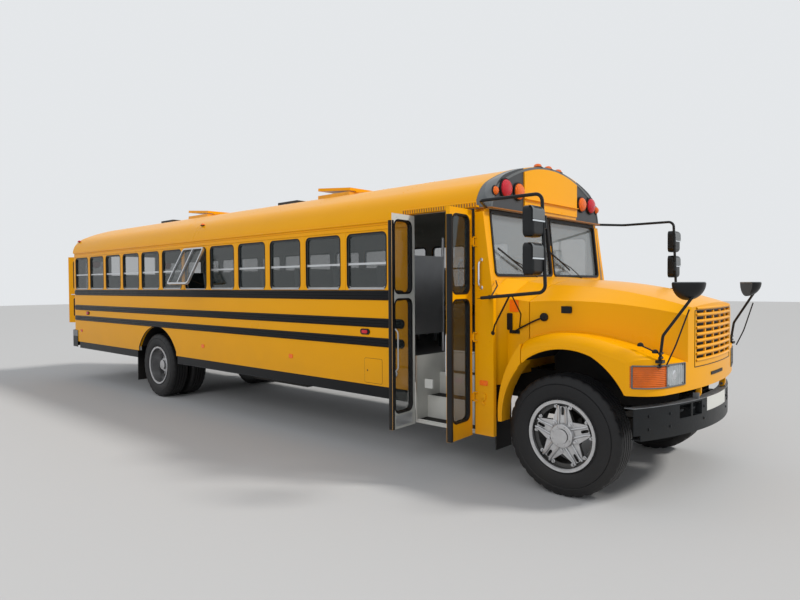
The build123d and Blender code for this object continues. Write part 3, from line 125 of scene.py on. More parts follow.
def make_stage():
    """Pale floor, pale world, a soft sun high over the nose and a fill light from the right."""
    mesh = bpy.data.meshes.new("floor")
    s = 60.0
    mesh.from_pydata([(-s, -s, 0), (s, -s, 0), (s, s, 0), (-s, s, 0)], [], [(0, 1, 2, 3)])
    floor = bpy.data.objects.new("floor", mesh)
    link(floor)
    mat = bpy.data.materials.new("floor")
    mat.use_nodes = True
    shader = mat.node_tree.nodes["Principled BSDF"]
    put(shader, {"Base Color": (0.50, 0.50, 0.50, 1), "Roughness": 0.9, "Specular IOR Level": 0.15})
    mesh.materials.append(mat)
    world = bpy.data.worlds.new("world")
    bpy.context.scene.world = world
    world.use_nodes = True
    tree = world.node_tree
    tree.nodes.clear()
    kinds = ("OutputWorld", "MixShader", "LightPath", "Background", "Background")
    out, mix, path, light, back = (tree.nodes.new(f"ShaderNode{kind}") for kind in kinds)
    put(light, {"Color": (0.93, 0.96, 1.0, 1), "Strength": 0.62})
    put(back, {"Color": (0.78, 0.8, 0.82, 1), "Strength": 1.0})
    last = path.outputs["Is Camera Ray"]
    for ray in ("Is Glossy Ray", "Is Transmission Ray"):
        seen = tree.nodes.new("ShaderNodeMath")
        seen.operation = "MAXIMUM"
        tree.links.new(last, seen.inputs[0])
        tree.links.new(path.outputs[ray], seen.inputs[1])
        last = seen.outputs[0]
    tree.links.new(last, mix.inputs[0])
    tree.links.new(light.outputs[0], mix.inputs[1])
    tree.links.new(back.outputs[0], mix.inputs[2])
    tree.links.new(mix.outputs[0], out.inputs["Surface"])
    data = bpy.data.lights.new("key", "SUN")
    data.energy = 2.3
    data.angle = math.radians(9.0)
    data.color = (1.0, 0.97, 0.92)
    key = bpy.data.objects.new("key", data)
    key.rotation_euler = Vector((0.65, 0.42, 0.72)).to_track_quat("Z", "Y").to_euler()
    key.visible_glossy = False
    link(key)
    area_light("fill", (9.0, -24.0, 15.0), (0.0, 0.0, 1.5), 14.0, 1900.0, (0.97, 0.98, 1.0))


# Materials
class Term:
    """A socket of a material that adds, multiplies and compares like a number."""

    def __init__(self, tree, socket):
        self.tree = tree
        self.socket = socket

    def math(self, operation, other=None):
        node = self.tree.nodes.new("ShaderNodeMath")
        node.operation = operation
        self.tree.links.new(self.socket, node.inputs[0])
        if isinstance(other, Term):
            self.tree.links.new(other.socket, node.inputs[1])
        elif other is not None:
            node.inputs[1].default_value = other
        return Term(self.tree, node.outputs[0])

    def __add__(self, other):
        return self.math("ADD", other)

    def __sub__(self, other):
        return self.math("SUBTRACT", other)

    def __mul__(self, other):
        return self.math("MULTIPLY", other)

    def __gt__(self, other):
        return self.math("GREATER_THAN", other)

    def __lt__(self, other):
        return self.math("LESS_THAN", other)

    def abs(self):
        return self.math("ABSOLUTE")

    def between(self, low, high):
        return (self > low) * (self < high)

    def either(self, other):
        return self.math("MAXIMUM", other)


DUST = (0.11, 0.095, 0.075)


def material(name, colour, rough=0.5, metal=0.0, vary=0.0, scale=8.0, bump=0.0, bump_scale=60.0, dust=0.0,
             dust_top=1.1, coat=0.0, spec=0.5, ior=1.5, alpha=1.0, rough_vary=0.08, glow=0.0, zones=(),
             ribs=None):
    """Mottled colour, uneven gloss, fine bump, dust that gathers low down, and zones of other colours.

    A zone is (mask of a point in the part's frame, colour, roughness, metal)."""
    mat = bpy.data.materials.new(name)
    mat.use_nodes = True
    tree = mat.node_tree
    links = tree.links
    shader = tree.nodes["Principled BSDF"]
    put(shader, {"Coat Weight": coat, "Coat Roughness": 0.06, "Specular IOR Level": spec, "IOR": ior,
                 "Alpha": alpha})
    if glow:
        put(shader, {"Emission Color": (*colour, 1), "Emission Strength": glow})
    coords = tree.nodes.new("ShaderNodeTexCoord")

    def axes(output):
        node = tree.nodes.new("ShaderNodeSeparateXYZ")
        links.new(coords.outputs[output], node.inputs[0])
        return [Term(tree, socket) for socket in node.outputs]

    def speckle(size, detail):
        node = tree.nodes.new("ShaderNodeTexNoise")
        put(node, {"Scale": size, "Detail": detail})
        links.new(coords.outputs["Object"], node.inputs["Vector"])
        return Term(tree, node.outputs["Fac"])

    def spread(term, values):
        node = tree.nodes.new("ShaderNodeMapRange")
        put(node, values)
        links.new(term.socket, node.inputs["Value"])
        return Term(tree, node.outputs["Result"])

    def blend(factor, a, b):
        node = tree.nodes.new("ShaderNodeMix")
        node.data_type = "RGBA"
        links.new(factor.socket, node.inputs["Factor"])
        for key, value in (("A", a), ("B", b)):
            if isinstance(value, tuple):
                node.inputs[key].default_value = (*value, 1)
            else:
                links.new(value, node.inputs[key])
        return node.outputs["Result"]

    point = SimpleNamespace()
    point.x, point.y, point.z = axes("Object")
    point.nx, point.ny, point.nz = axes("Normal")
    noise = speckle(scale, 6.0)

    def tones(tint):
        dark = tuple(c * (1 - vary) for c in tint)
        light = tuple(min(1.0, c * (1 + vary * 0.6)) for c in tint)
        return blend(noise, dark, light)

    last = tones(colour)
    low, high = max(0.0, rough - rough_vary), min(1.0, rough + rough_vary)
    last_rough = spread(noise, {"To Min": low, "To Max": high})
    last_metal = None
    for mask, tint, zone_rough, zone_metal in zones:
        where = mask(point)
        last = blend(where, last, tones(tint))
        last_rough = last_rough + where * (zone_rough - rough)
        if zone_metal != metal:
            base = last_metal if last_metal is not None else where * 0.0 + metal
            last_metal = base + where * (zone_metal - metal)
    if dust:
        amount = spread(point.z, {"From Min": dust_top, "From Max": 0.15}) * speckle(3.5, 8.0) * (2 * dust)
        last = blend(amount, last, DUST)
        last_rough = last_rough + amount * 0.4
    links.new(last, shader.inputs["Base Color"])
    links.new(last_rough.socket, shader.inputs["Roughness"])
    if last_metal is None:
        put(shader, {"Metallic": metal})
    else:
        links.new(last_metal.socket, shader.inputs["Metallic"])
    height = speckle(bump_scale, 4.0) if bump else None
    if ribs:
        axis, pitch, depth = ribs
        wave = (getattr(point, axis) * (2 * math.pi / pitch)).math("SINE") * depth
        height = wave if height is None else height + wave
    if height is not None:
        relief = tree.nodes.new("ShaderNodeBump")
        put(relief, {"Strength": bump if bump else 0.6, "Distance": 0.01})
        links.new(height.socket, relief.inputs["Height"])
        links.new(relief.outputs["Normal"], shader.inputs["Normal"])
    return mat


YELLOW = (0.87, 0.385, 0.001)
CREAM = (0.42, 0.42, 0.39)
OFF_WHITE = (0.62, 0.62, 0.58)
# Painted shade: a dark, rougher, less metallic colour for the wheels' parts inboard of their faces, standing
# in for the shade in their recesses
RECESS_SHADE = (0.10, 0.10, 0.10)


def inside(p):
    """Faces of a wall, a roof or a cap that look into the cabin."""
    return (p.ny * p.y + p.nz * (p.z - 1.9) + p.nx * (p.x + 1.0) * 0.2) < -0.02


def leaf_paint(name, sign):
    """Paint of an open entrance leaf, pale on the face that looks into the bus when it is shut."""
    inner = (lambda p: (p.nx * sign) > 0.5, OFF_WHITE, 0.45, 0.0)
    return material(name, YELLOW, 0.3, zones=(inner,), **ENAMEL)


def lens(name, colour, rough, glow, ribs, **rest):
    """Ribbed plastic that glows a little; on the reflectors that share it, which are no lamps, the glow is
    painted light.
    """
    return material(name, colour, rough, coat=0.35, glow=glow, ribs=(*ribs, 0.5), **rest)


def sign_border(p):
    """The pale edge of the eight-sided stop sign."""
    x, z = (p.x - (STOP_SIGN[0] + POST_X)).abs(), (p.z - (STOP_SIGN[1] + RIDE)).abs()
    return x.either(z).either((x + z) * 0.7071) > 0.188


def near_hatches(p):
    """The hatches' kerbs, drawn in one node with the vents."""
    first, second = ((p.x - (x + POST_X)).abs() < 0.36 for x in HATCH_X)
    return first.either(second)


SIGN_X = 9.568 + POST_X
ENAMEL = dict(vary=0.06, scale=1.3, bump=0.02, bump_scale=22, dust=0.2, coat=0.04, spec=0.14)
M = {
    "yellow": material("yellow_enamel", YELLOW, 0.3, **ENAMEL),
    "shell": material("yellow_shell", YELLOW, 0.3, zones=((inside, CREAM, 0.5, 0.0),), **ENAMEL),
    "leaf_rear": leaf_paint("leaf_rear_paint", 1),
    "leaf_front": leaf_paint("leaf_front_paint", -1),
    "escape": material("escape_paint", YELLOW, 0.3, **ENAMEL),
    "header": material(
        "header_paint", (0.15, 0.16, 0.165), 0.42, vary=0.15, scale=9, bump=0.03, bump_scale=40, coat=0.2,
        zones=((lambda p: p.nx > 0.75, (0.035, 0.038, 0.042), 0.5, 0.0),
               (lambda p: (p.x > SIGN_X) * (p.y.abs() < 0.551), YELLOW, 0.35, 0.0),
               (inside, CREAM, 0.5, 0.0))),
    "cowl": material(
        "cowl_paint", YELLOW, 0.3,
        zones=((lambda p: (p.nx < -0.5) * (p.z > 0.9), (0.05, 0.05, 0.05), 0.6, 0.0),
               (lambda p: (p.x < 9.556 + POST_X) * (p.y.abs() < 1.076), (0.06, 0.06, 0.06), 0.6, 0.0)),
        **ENAMEL),
    "black": material("black_enamel", (0.004, 0.005, 0.007), 0.36, vary=0.3, dust=0.06, spec=0.2),
    "chassis": material("chassis_black", (0.010, 0.010, 0.011), 0.6, vary=0.4, dust=0.3, bump=0.1, spec=0.25),
    "white": material("white_enamel", (0.60, 0.60, 0.56), 0.45, vary=0.12, scale=5, dust=0.3,
                      zones=((lambda p: p.nz > 0.7, (0.07, 0.07, 0.072), 0.7, 0.0),)),
    "pale": material("pale_enamel", (0.66, 0.66, 0.62), 0.4, vary=0.1, scale=6),
    "alu": material("satin_aluminium", (0.60, 0.61, 0.63), 0.35, 0.9, vary=0.12, bump=0.03, bump_scale=150),
    "frames": material(
        "window_frames", (0.035, 0.04, 0.042), 0.4, 0.2, vary=0.2,
        zones=((lambda p: p.z.between(1.925 + RIDE, 1.955 + RIDE), (0.62, 0.63, 0.64), 0.35, 0.85),
               (lambda p: p.z < 1.70 + RIDE, (0.42, 0.42, 0.42), 0.45, 0.6))),
    "chrome": material("chrome", (0.75, 0.76, 0.78), 0.12, 1.0, vary=0.06, bump=0.02, bump_scale=80),
    "wheel": material(
        "wheel_silver", (0.66, 0.66, 0.67), 0.27, 0.95, vary=0.3, scale=16, dust=0.2, bump=0.12,
        bump_scale=55, dust_top=0.9,
        # Painted shade: every part of a wheel inboard of its face is darkened, as if shaded in the recess
        zones=((lambda p: (p.y.abs() < 1.088) * (p.x > 2.0), RECESS_SHADE, 0.45, 0.7),
               (lambda p: (p.y.abs() < 0.913) * (p.x < 2.0), RECESS_SHADE, 0.45, 0.7))),
    "tyre": material("tyre_rubber", (0.007, 0.007, 0.008), 0.5, vary=0.4, scale=6, dust=0.06, bump=0.12,
                     bump_scale=90, dust_top=0.7, spec=0.4),
    "rubber": material("black_rubber", (0.006, 0.006, 0.007), 0.45, vary=0.3, dust=0.1, bump=0.05, spec=0.3),
    "vinyl": material("seat_vinyl", (0.022, 0.032, 0.033), 0.45, vary=0.2, bump=0.25, bump_scale=260),
    "plastic": material("grey_plastic", (0.05, 0.052, 0.055), 0.5, vary=0.15, bump=0.1, bump_scale=300),
    "iron": material("cast_iron", (0.07, 0.065, 0.06), 0.7, 0.4, vary=0.4, bump=0.3),
    "glass": material("window_glass", (0.02, 0.03, 0.028), 0.03, spec=0.8, ior=1.75, alpha=0.40,
                      rough_vary=0.02),
    "screen": material("screen_glass", (0.26, 0.30, 0.32), 0.03, spec=1.0, ior=2.1, alpha=0.5,
                       rough_vary=0.02),
    "red": lens("red_lens", (0.55, 0.004, 0.02), 0.15, 0.14, ("y", 0.012), spec=0.35, vary=0.3, scale=40),
    "amber": lens("amber_lens", (0.88, 0.15, 0.002), 0.15, 0.10, ("y", 0.012), spec=0.35, vary=0.3, scale=40),
    "turn": lens("turn_lens", (0.72, 0.13, 0.001), 0.16, 0.03, ("z", 0.014), spec=0.3, vary=0.35, scale=18),
    "clear": material("clear_lens", (0.52, 0.55, 0.56), 0.12, 0.35, coat=0.8, vary=0.35, scale=16,
                      ribs=("y", 0.03, 0.6)),
    "floor": material("rubber_floor", (0.04, 0.04, 0.042), 0.7, vary=0.3, dust=0.2, bump=0.1),
    "mirror": material("mirror_shell", (0.007, 0.008, 0.009), 0.35, vary=0.2, bump=0.05, spec=0.3),
    "mirror_grey": material("mirror_grey", (0.12, 0.13, 0.135), 0.38, vary=0.15, bump=0.05, spec=0.4),
    "looking": material("looking_glass", (0.7, 0.73, 0.75), 0.03, 1.0, rough_vary=0.02),
    "bumper": material("bumper_black", (0.006, 0.008, 0.010), 0.35, vary=0.5, scale=10, dust=0.08, bump=0.08,
                       spec=0.22, bump_scale=45,
                       zones=((lambda p: p.z > 0.765 + RIDE, (0.24, 0.25, 0.26), 0.4, 0.5),)),
    "brown": material("drip_brown", (0.30, 0.11, 0.012), 0.5, vary=0.3, scale=20, bump=0.1),
    "stop": material("stop_sign", (0.50, 0.01, 0.012), 0.35, vary=0.1, coat=0.2,
                     zones=((sign_border, (0.66, 0.66, 0.64), 0.35, 0.0),)),
    "vent": material("vent_black", (0.02, 0.021, 0.022), 0.55, vary=0.3,
                     zones=((near_hatches, YELLOW, 0.35, 0.0),)),
}
SLOT_MATERIAL = {
    "body_yellow": "yellow", "black_paint": "black", "chassis_black": "chassis", "white_panel": "white",
    "aluminium": "alu", "wheel_silver": "wheel", "glass": "glass", "tyre": "tyre", "rubber": "rubber",
    "seat_vinyl": "vinyl", "dash_plastic": "plastic", "cast_iron": "iron", "mirror_black": "mirror",
    "lamp_red": "red", "lamp_amber": "amber", "lamp_clear": "clear", "floor_rubber": "floor",
}
NODE_MATERIAL = {
    "side_wall_left": "shell", "side_wall_right": "shell", "rear_wall": "shell", "roof_panel": "shell",
    "roof_rear_cap": "shell", "front_header": "header", "front_post": "shell", "cowl": "cowl",
    "door_leaf_rear": "leaf_rear", "door_leaf_front": "leaf_front", "escape_door": "escape",
    "windshield": "screen", "window_frames": "frames", "headlamps": "clear", "turn_lamps": "turn",
    "front_bumper": "bumper", "rear_bumper": "bumper", "roof_vents": "vent", "stop_arm": "stop",
}


def dress_nodes():
    """Every CAD node gets the material of its slot, or its own."""
    for row in frame["record"]["subparts"]:
        node = NODES[row["node"]]
        name = NODE_MATERIAL.get(row["node"], SLOT_MATERIAL[row["material_slot"]])
        node.data.materials.clear()
        node.data.materials.append(M[name])


# Mesh tools
def grid(bm, rows, close_u=False, close_v=False):
    """Quads over rows of points; u runs along a row and v from row to row."""
    verts = [[bm.verts.new(p) for p in row] for row in rows]
    nv, nu = len(verts), len(verts[0])
    for i in range(nv if close_v else nv - 1):
        for j in range(nu if close_u else nu - 1):
            a, b = verts[i], verts[(i + 1) % nv]
            bm.faces.new((a[j], a[(j + 1) % nu], b[(j + 1) % nu], b[j]))
    return verts


def loft(bm, rows):
    """Closed rings of points, joined and capped at both ends."""
    verts = grid(bm, rows, close_u=True)
    bm.faces.new(verts[0][::-1])
    bm.faces.new(verts[-1])


def box(bm, x, y, z):
    """A block between two corners."""
    loft(bm, [[(x[i], y[j], h) for i, j in ((0, 0), (1, 0), (1, 1), (0, 1))] for h in z])


AXES = {"x": lambda a, b, d: (d, a, b), "y": lambda a, b, d: (a, d, b), "z": lambda a, b, d: (a, b, d)}


def pulled(outline, axis, depth, place):
    """A flat outline at a distance along an axis."""
    row = [AXES[axis](a, b, depth) for a, b in outline]
    return [place(*p) for p in row] if place else row


def prism(bm, outline, axis, low, high, place=None):
    """A flat outline pulled along an axis."""
    loft(bm, [pulled(outline, axis, depth, place) for depth in (low, high)])


def ring(bm, centre, outer, inner, axis, low, high, place=None):
    """A frame between two rounded rectangles, each (width, height, corner), pulled along an axis."""
    outer, inner = rounded(*centre, *outer), rounded(*centre, *inner)
    edges = ((outer, low), (outer, high), (inner, high), (inner, low))
    grid(bm, [pulled(outline, axis, depth, place) for outline, depth in edges], close_u=True, close_v=True)


def raised(bm, rings, s):
    """Outlines at distances out from one side of the body, joined and capped by the last."""
    verts = grid(bm, [[(a, s * d, b) for a, b in outline] for outline, d in rings], close_u=True)
    bm.faces.new(verts[-1])


def rounded(cx, cz, w, h, r, n=6):
    """Outline of a rounded rectangle."""
    pts = []
    for k, (sx, sz) in enumerate(((1, 1), (-1, 1), (-1, -1), (1, -1))):
        for i in range(n + 1):
            a = math.pi / 2 * (k + i / n)
            pts.append((cx + sx * (w / 2 - r) + r * math.cos(a), cz + sz * (h / 2 - r) + r * math.sin(a)))
    return pts


def bend(points, r, n=6):
    """A run of points with its corners rounded off."""
    pts = [Vector(p) for p in points]
    out = [pts[0]]
    for a, b, c in zip(pts, pts[1:], pts[2:]):
        cut = min(r, (a - b).length * 0.45, (c - b).length * 0.45)
        p, q = b + (a - b).normalized() * cut, b + (c - b).normalized() * cut
        out += [p.lerp(b, t).lerp(b.lerp(q, t), t) for t in (i / n for i in range(n + 1))]
    return out + [pts[-1]]


def tube(bm, points, r, n=8, flat=1.0):
    """A round bar along points, closed at both ends."""
    pts = [Vector(p) for p in points]
    side = None
    rows = []
    for i, p in enumerate(pts):
        along = (pts[min(i + 1, len(pts) - 1)] - pts[max(i - 1, 0)]).normalized()
        if side is None:
            side = along.orthogonal() if abs(along.z) > 0.9 else along.cross(Vector((0, 0, 1)))
            side = side.normalized()
        side = (side - along * side.dot(along)).normalized()
        up = along.cross(side)
        rows.append([p + side * (r * math.cos(a)) + up * (r * flat * math.sin(a))
                     for a in (2 * math.pi * k / n for k in range(n))])
    loft(bm, rows)


def bar(bm, points, corner, r, n=8, flat=1.0):
    """A round bar with its corners rounded off."""
    tube(bm, bend(points, corner), r, n, flat)


def lathe(bm, profile, centre, axis="y", n=48, sign=1, wave=None):
    """A profile of (distance along the axis, radius) turned about an axis."""
    rows = []
    for k in range(n):
        a = 2 * math.pi * k / n
        row = []
        for i, (d, r) in enumerate(profile):
            r += wave(i, k) if wave else 0.0
            turned = AXES[axis](r * math.cos(a), r * math.sin(a), sign * d)
            row.append(tuple(c + t for c, t in zip(centre, turned)))
        rows.append(row)
    grid(bm, rows, close_v=True)
    bmesh.ops.remove_doubles(bm, verts=bm.verts, dist=1e-5)


def dome(bm, centre, r, height, axis, sign=1, n=20, steps=5, base=0.0):
    """A convex lens or button on a flat base."""
    profile = [(0.0, r)] if base else []
    turns = [math.pi / 2 * i / steps for i in range(steps)]
    profile += [(base + height * math.sin(t), r * math.cos(t)) for t in turns]
    profile.append((base + height, 0.0005))
    lathe(bm, profile, centre, axis, n, sign)


def arc3(a, b, c, n=10):
    """Points of the arc through three points."""
    (x1, y1), (x2, y2), (x3, y3) = a, b, c
    d = 2 * (x1 * (y2 - y3) + x2 * (y3 - y1) + x3 * (y1 - y2))
    ux = ((x1**2 + y1**2) * (y2 - y3) + (x2**2 + y2**2) * (y3 - y1) + (x3**2 + y3**2) * (y1 - y2)) / d
    uy = ((x1**2 + y1**2) * (x3 - x2) + (x2**2 + y2**2) * (x1 - x3) + (x3**2 + y3**2) * (x2 - x1)) / d
    r = math.hypot(x1 - ux, y1 - uy)
    t = [math.atan2(y - uy, x - ux) for x, y in (a, b, c)]
    for k in (1, 2):
        while t[k] - t[k - 1] > math.pi:
            t[k] -= 2 * math.pi
        while t[k] - t[k - 1] < -math.pi:
            t[k] += 2 * math.pi
    turns = [t[0] + (t[2] - t[0]) * i / n for i in range(n + 1)]
    return [(ux + r * math.cos(turn), uy + r * math.sin(turn)) for turn in turns]


def round_edges(obj, width, angle):
    mod = obj.modifiers.new("bevel", "BEVEL")
    mod.width = width
    mod.segments = 2
    mod.limit_method = "ANGLE"
    mod.angle_limit = math.radians(angle)


def piece(bm, name, mat, body, replaced=(), bevel=0.0, sharp=38.0):
    """Turns a finished bmesh into a named piece that rides on a body."""
    bmesh.ops.recalc_face_normals(bm, faces=bm.faces)
    mesh = bpy.data.meshes.new(name)
    bm.to_mesh(mesh)
    bm.free()
    mesh.transform(Matrix.Translation(OFFSET))
    mesh.materials.append(M[mat])
    mesh.shade_smooth()
    mesh.set_sharp_from_angle(angle=math.radians(sharp))
    obj = bpy.data.objects.new(name, mesh)
    link(obj)
    if bevel:
        round_edges(obj, bevel, 35.0)
    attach(obj, body)
    if replaced:
        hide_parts(*replaced)
    return obj


def soften_node(name, width, angle=35.0):
    """Rounds a CAD node's hard edges a little, so that they catch the light."""
    round_edges(NODES[name], width, angle)


# Wheels and tyres
TYRE_HALF = (
    (0.100, 0.2868), (0.113, 0.2870), (0.1165, 0.296), (0.1215, 0.304), (0.1175, 0.3100), (0.1235, 0.3170),
    (0.1290, 0.335), (0.1335, 0.372), (0.1350, 0.398), (0.1342, 0.424), (0.1295, 0.4275), (0.1335, 0.434),
    (0.1315, 0.447), (0.1265, 0.4705), (0.1165, 0.4895), (0.1035, 0.5005), (0.0985, 0.5024), (0.0690, 0.5028),
    (0.0680, 0.4900), (0.0590, 0.4900), (0.0580, 0.5030), (0.0260, 0.5030), (0.0250, 0.4900),
    (0.0160, 0.4900), (0.0150, 0.5030),
)


WHEELS = (("front_left", "wheel_fl", AXLE_F, 1), ("front_right", "wheel_fr", AXLE_F, -1),
          ("rear_left", "wheels_rl", AXLE_R, 1), ("rear_right", "wheels_rr", AXLE_R, -1))
SHOULDER = (13, 14, 15, 16)


def tread(i, k):
    """Cuts short grooves round both shoulders."""
    i = min(i, 2 * len(TYRE_HALF) - 1 - i)
    return -0.009 if i in SHOULDER and k % 4 == 0 else 0.0


def make_tyres():
    """Treaded tyres in place of the plain ones."""
    profile = list(TYRE_HALF) + [(-d, r) for d, r in reversed(TYRE_HALF)]
    for name, body, x, s in WHEELS:
        front = x == AXLE_F
        node = f"tyre_{name}" if front else f"tyres_{name}"
        bm = bmesh.new()
        for y in TRACK[:1] if front else TRACK:
            lathe(bm, profile, (x, s * y, WHEEL_Z), n=128, wave=tread)
        piece(bm, f"{node}_treaded", "tyre", body, (node,), sharp=28)


def wheel_point(x, y, a, r):
    return (x + r * math.cos(a), y, WHEEL_Z + r * math.sin(a))


def make_wheel_trim():
    """Ribs, nuts, clamps and caps on the cast wheels."""
    rib = ((-0.33, 0.105), (-0.20, 0.165), (-0.135, 0.215), (-0.145, 0.252))
    nut = ((0, 0.026), (0.012, 0.024), (0.014, 0.015), (0.03, 0.0145), (0.032, 0.001))
    clamp = ((0, 0.019), (0.016, 0.018), (0.018, 0.012), (0.03, 0.011), (0.031, 0.001))
    collar = ((0, 0.099), (0.006, 0.099), (0.010, 0.094), (0.010, 0.064))
    flange = ((-0.030, 0.272), (-0.012, 0.270), (-0.008, 0.276), (-0.0075, 0.286), (-0.005, 0.297),
              (-0.009, 0.2995), (-0.014, 0.298))
    for name, body, x, s in WHEELS:
        face, cap, hub = (1.095, 1.138, 0.022) if x == AXLE_F else (0.920, 1.055, 0.092)
        bm = bmesh.new()
        for k in range(5):
            a = math.radians(90 + 72 * k)
            for side in (1, -1):
                bar(bm, [wheel_point(x, s * (face + 0.004), a + side * t, r) for t, r in rib], 0.03, 0.011)
            lathe(bm, nut, wheel_point(x, s * (face - 0.006), a + math.radians(36), 0.121), "y", 6, s)
            for turn in (-15, 15):
                lathe(bm, clamp, wheel_point(x, s * (face - 0.022), a + math.radians(turn), 0.246), "y", 6, s)
        dome(bm, (x, s * (cap - 0.016), WHEEL_Z), 0.05, 0.006, "y", s, base=0.01)
        lathe(bm, collar, (x, s * (face + hub), WHEEL_Z), "y", 40, s)
        for k in range(8):
            p = wheel_point(x, s * (face + hub + 0.008), math.radians(22.5 + 45 * k), 0.079)
            dome(bm, p, 0.007, 0.005, "y", s, n=6, steps=2, base=0.003)
        lathe(bm, flange, (x, s * (TRACK[0] + 0.135), WHEEL_Z), "y", 96, s)
        piece(bm, f"wheel_trim_{name}", "wheel", body, sharp=30)
        soften_node(f"wheel_{name}", 0.003)


# Side of the body
def make_rub_rails():
    """Ribbed black rails with rounded ends, and the skirt band."""
    bm = bmesh.new()
    for s in (1, -1):
        for z0, z1 in RAILS:
            x0, x1 = -0.004, 8.59 if s < 0 else 9.57
            cx, cz, length, height = (x0 + x1) / 2, (z0 + z1) / 2, x1 - x0, z1 - z0
            outline = rounded(cx, cz, length, height, height * 0.49, 8)
            inner = rounded(cx, cz, length - 0.012, height - 0.012, height * 0.49 - 0.006, 8)
            raised(bm, ((outline, SKIN), (outline, 1.186), (inner, 1.191)), s)
            for dz in (-0.030, 0.0, 0.030):
                cut = 0.046 if dz else 0.034
                tube(bm, [(x0 + cut, s * 1.1895, cz + dz), (x1 - cut, s * 1.1895, cz + dz)], 0.0098, 10)
        for x0, x1 in ((0.2, 2.67), (3.99, 8.61)):
            box(bm, (x0, x1), sorted((s * 1.161, s * 1.1799)), (0.545, 0.6627))
            tube(bm, [(x0, s * 1.1775, 0.553), (x1, s * 1.1775, 0.553)], 0.008)
    piece(bm, "rub_rails_ribbed", "black", "root", ("rub_rails",), bevel=0.002)


def make_gutters():
    """Drip mouldings, the posts between the windows and the hood over the doorway."""
    bm = bmesh.new()
    for s in (1, -1):
        for z, out, r in ((2.292, 1.1825, 0.008), (2.335, 1.1825, 0.006), (2.362, 1.186, 0.010)):
            tube(bm, [(-0.005, s * out, z), (8.64 if s < 0 else 9.50, s * out, z)], r)
        for k in range(BAYS + 1):
            x = PITCH * k
            box(bm, (x - 0.030, x + 0.030), sorted((s * 1.1795, s * 1.1835)), (1.664, 2.284))
    box(bm, (8.60, 9.49), (-1.225, -1.176), (2.404, 2.418))
    box(bm, (8.60, 9.49), (-1.228, -1.219), (2.404, 2.446))
    tube(bm, [(8.60, -1.2235, 2.446), (9.49, -1.2235, 2.446)], 0.007)
    piece(bm, "gutters_and_pillars", "yellow", "root", bevel=0.0015)
    bm = bmesh.new()
    box(bm, (8.602, 9.488), (-1.218, -1.181), (2.419, 2.426))
    for i in range(30):
        x = 8.62 + 0.0295 * i
        box(bm, (x, x + 0.012), (-1.2315, -1.2275), (2.408, 2.440))
    piece(bm, "doorway_drip_ribs", "brown", "root", bevel=0.0008)


def roof_point(a, grow=0.0):
    """Point of the roof's section: a runs from 0 at the right eave to 1 at the left eave."""
    eave, rise, r = 2.365, 0.53, 0.33
    crown = (HALF**2 + rise**2 - 2 * HALF * r) / (2 * (rise - r))
    turn = math.atan2(crown - rise, HALF - r)
    lengths = (turn * r, (math.pi / 2 - turn) * crown)
    total = 2 * sum(lengths)
    d = a * total
    left = d > total / 2
    d = min(d, total - d)
    if d <= lengths[0]:
        t = d / r
        y, z = HALF - r + (r + grow) * math.cos(t), eave + (r + grow) * math.sin(t)
    else:
        t = turn + (d - lengths[0]) / crown
        y, z = (crown + grow) * math.cos(t), eave + rise - crown + (crown + grow) * math.sin(t)
    return (y if left else -y, z)


def make_roof_rivets():
    """Rows of rivets over the roof bows and a lap strip at the front seam."""
    bm = bmesh.new()
    side = Vector((1, 0, 0))
    for k in range(1, BAYS + 2):
        x, steps = (PITCH * k, 36) if k <= BAYS else (9.405, 72)
        for i in range(steps + 1):
            y, z = roof_point(i / steps)
            over_door = x > DOOR_X and z < 2.43
            if over_door or abs(y) < 0.36 and any(abs(x - hatch) < 0.4 for hatch in HATCH_X):
                continue
            out = Vector((0, y, z - 1.6)).normalized()
            up = out.cross(side)
            c = Vector((x, y, z))
            base = [bm.verts.new(c + (side * math.cos(t) + up * math.sin(t)) * 0.0075)
                    for t in (math.pi / 3 * j for j in range(6))]
            tip = bm.verts.new(c + out * 0.0045)
            for j in range(6):
                bm.faces.new((base[j], base[(j + 1) % 6], tip))
    section = ((-0.022, 0.0003), (-0.020, 0.0035), (0.018, 0.0035), (0.020, 0.0003))
    grid(bm, [[(9.43 + dx, *roof_point(i / 48, grow)) for dx, grow in section] for i in range(1, 48)])
    piece(bm, "roof_rivets", "yellow", "root", sharp=50)


def make_window_trim():
    """Black rubber round each side window and the sill strips."""
    seals, sills = bmesh.new(), bmesh.new()
    for s in (1, -1):
        for k in range(BAYS):
            x = PITCH * (k + 0.5)
            if s > 0 or k != PUSHED_OUT:
                ring(seals, (x, WINDOW_Z), PANE, (0.580, 0.581, 0.056), "y", s * 1.172, s * 1.1835)
            box(sills, (x - 0.268, x + 0.268), sorted((s * 1.1725, s * 1.1875)), (1.667, 1.6795))
    cab = (9.06, CAB_WINDOW_Z)
    ring(seals, cab, (0.708, 0.641, 0.066), (0.672, 0.605, 0.050), "y", 1.150, 1.1845)
    ring(seals, cab, (0.026, 0.62, 0.01), (0.004, 0.60, 0.001), "y", 1.152, 1.170)
    piece(seals, "window_seals", "rubber", "root", bevel=0.001)
    piece(sills, "window_sills", "alu", "root", bevel=0.002)


def make_pushout():
    """Panes, stays and seal of the open escape window."""
    panes, stays = bmesh.new(), bmesh.new()
    cx = PITCH * (PUSHED_OUT + 0.5)
    lean = math.radians(27.0)
    origin = Vector((cx, -1.184, 2.257))

    def place(x, y, z):
        sine, cosine = math.sin(lean), math.cos(lean)
        return origin + Vector((x, sine * z - cosine * y, cosine * z - sine * y))

    for side in (-1, 1):
        prism(panes, rounded(side * 0.1435, -0.2965, 0.262, 0.536, 0.03), "y", 0.012, 0.018, place)
        bar(stays, [(cx + side * 0.25, -1.17, 1.72), place(side * 0.25, 0.0, -0.5)], 0.01, 0.005)
    ring(stays, (cx, WINDOW_Z), PANE, (0.564, 0.565, 0.05), "y", -1.16, -1.1835)
    piece(panes, "pushout_panes", "glass", "root")
    piece(stays, "pushout_stays", "rubber", "root", bevel=0.001)


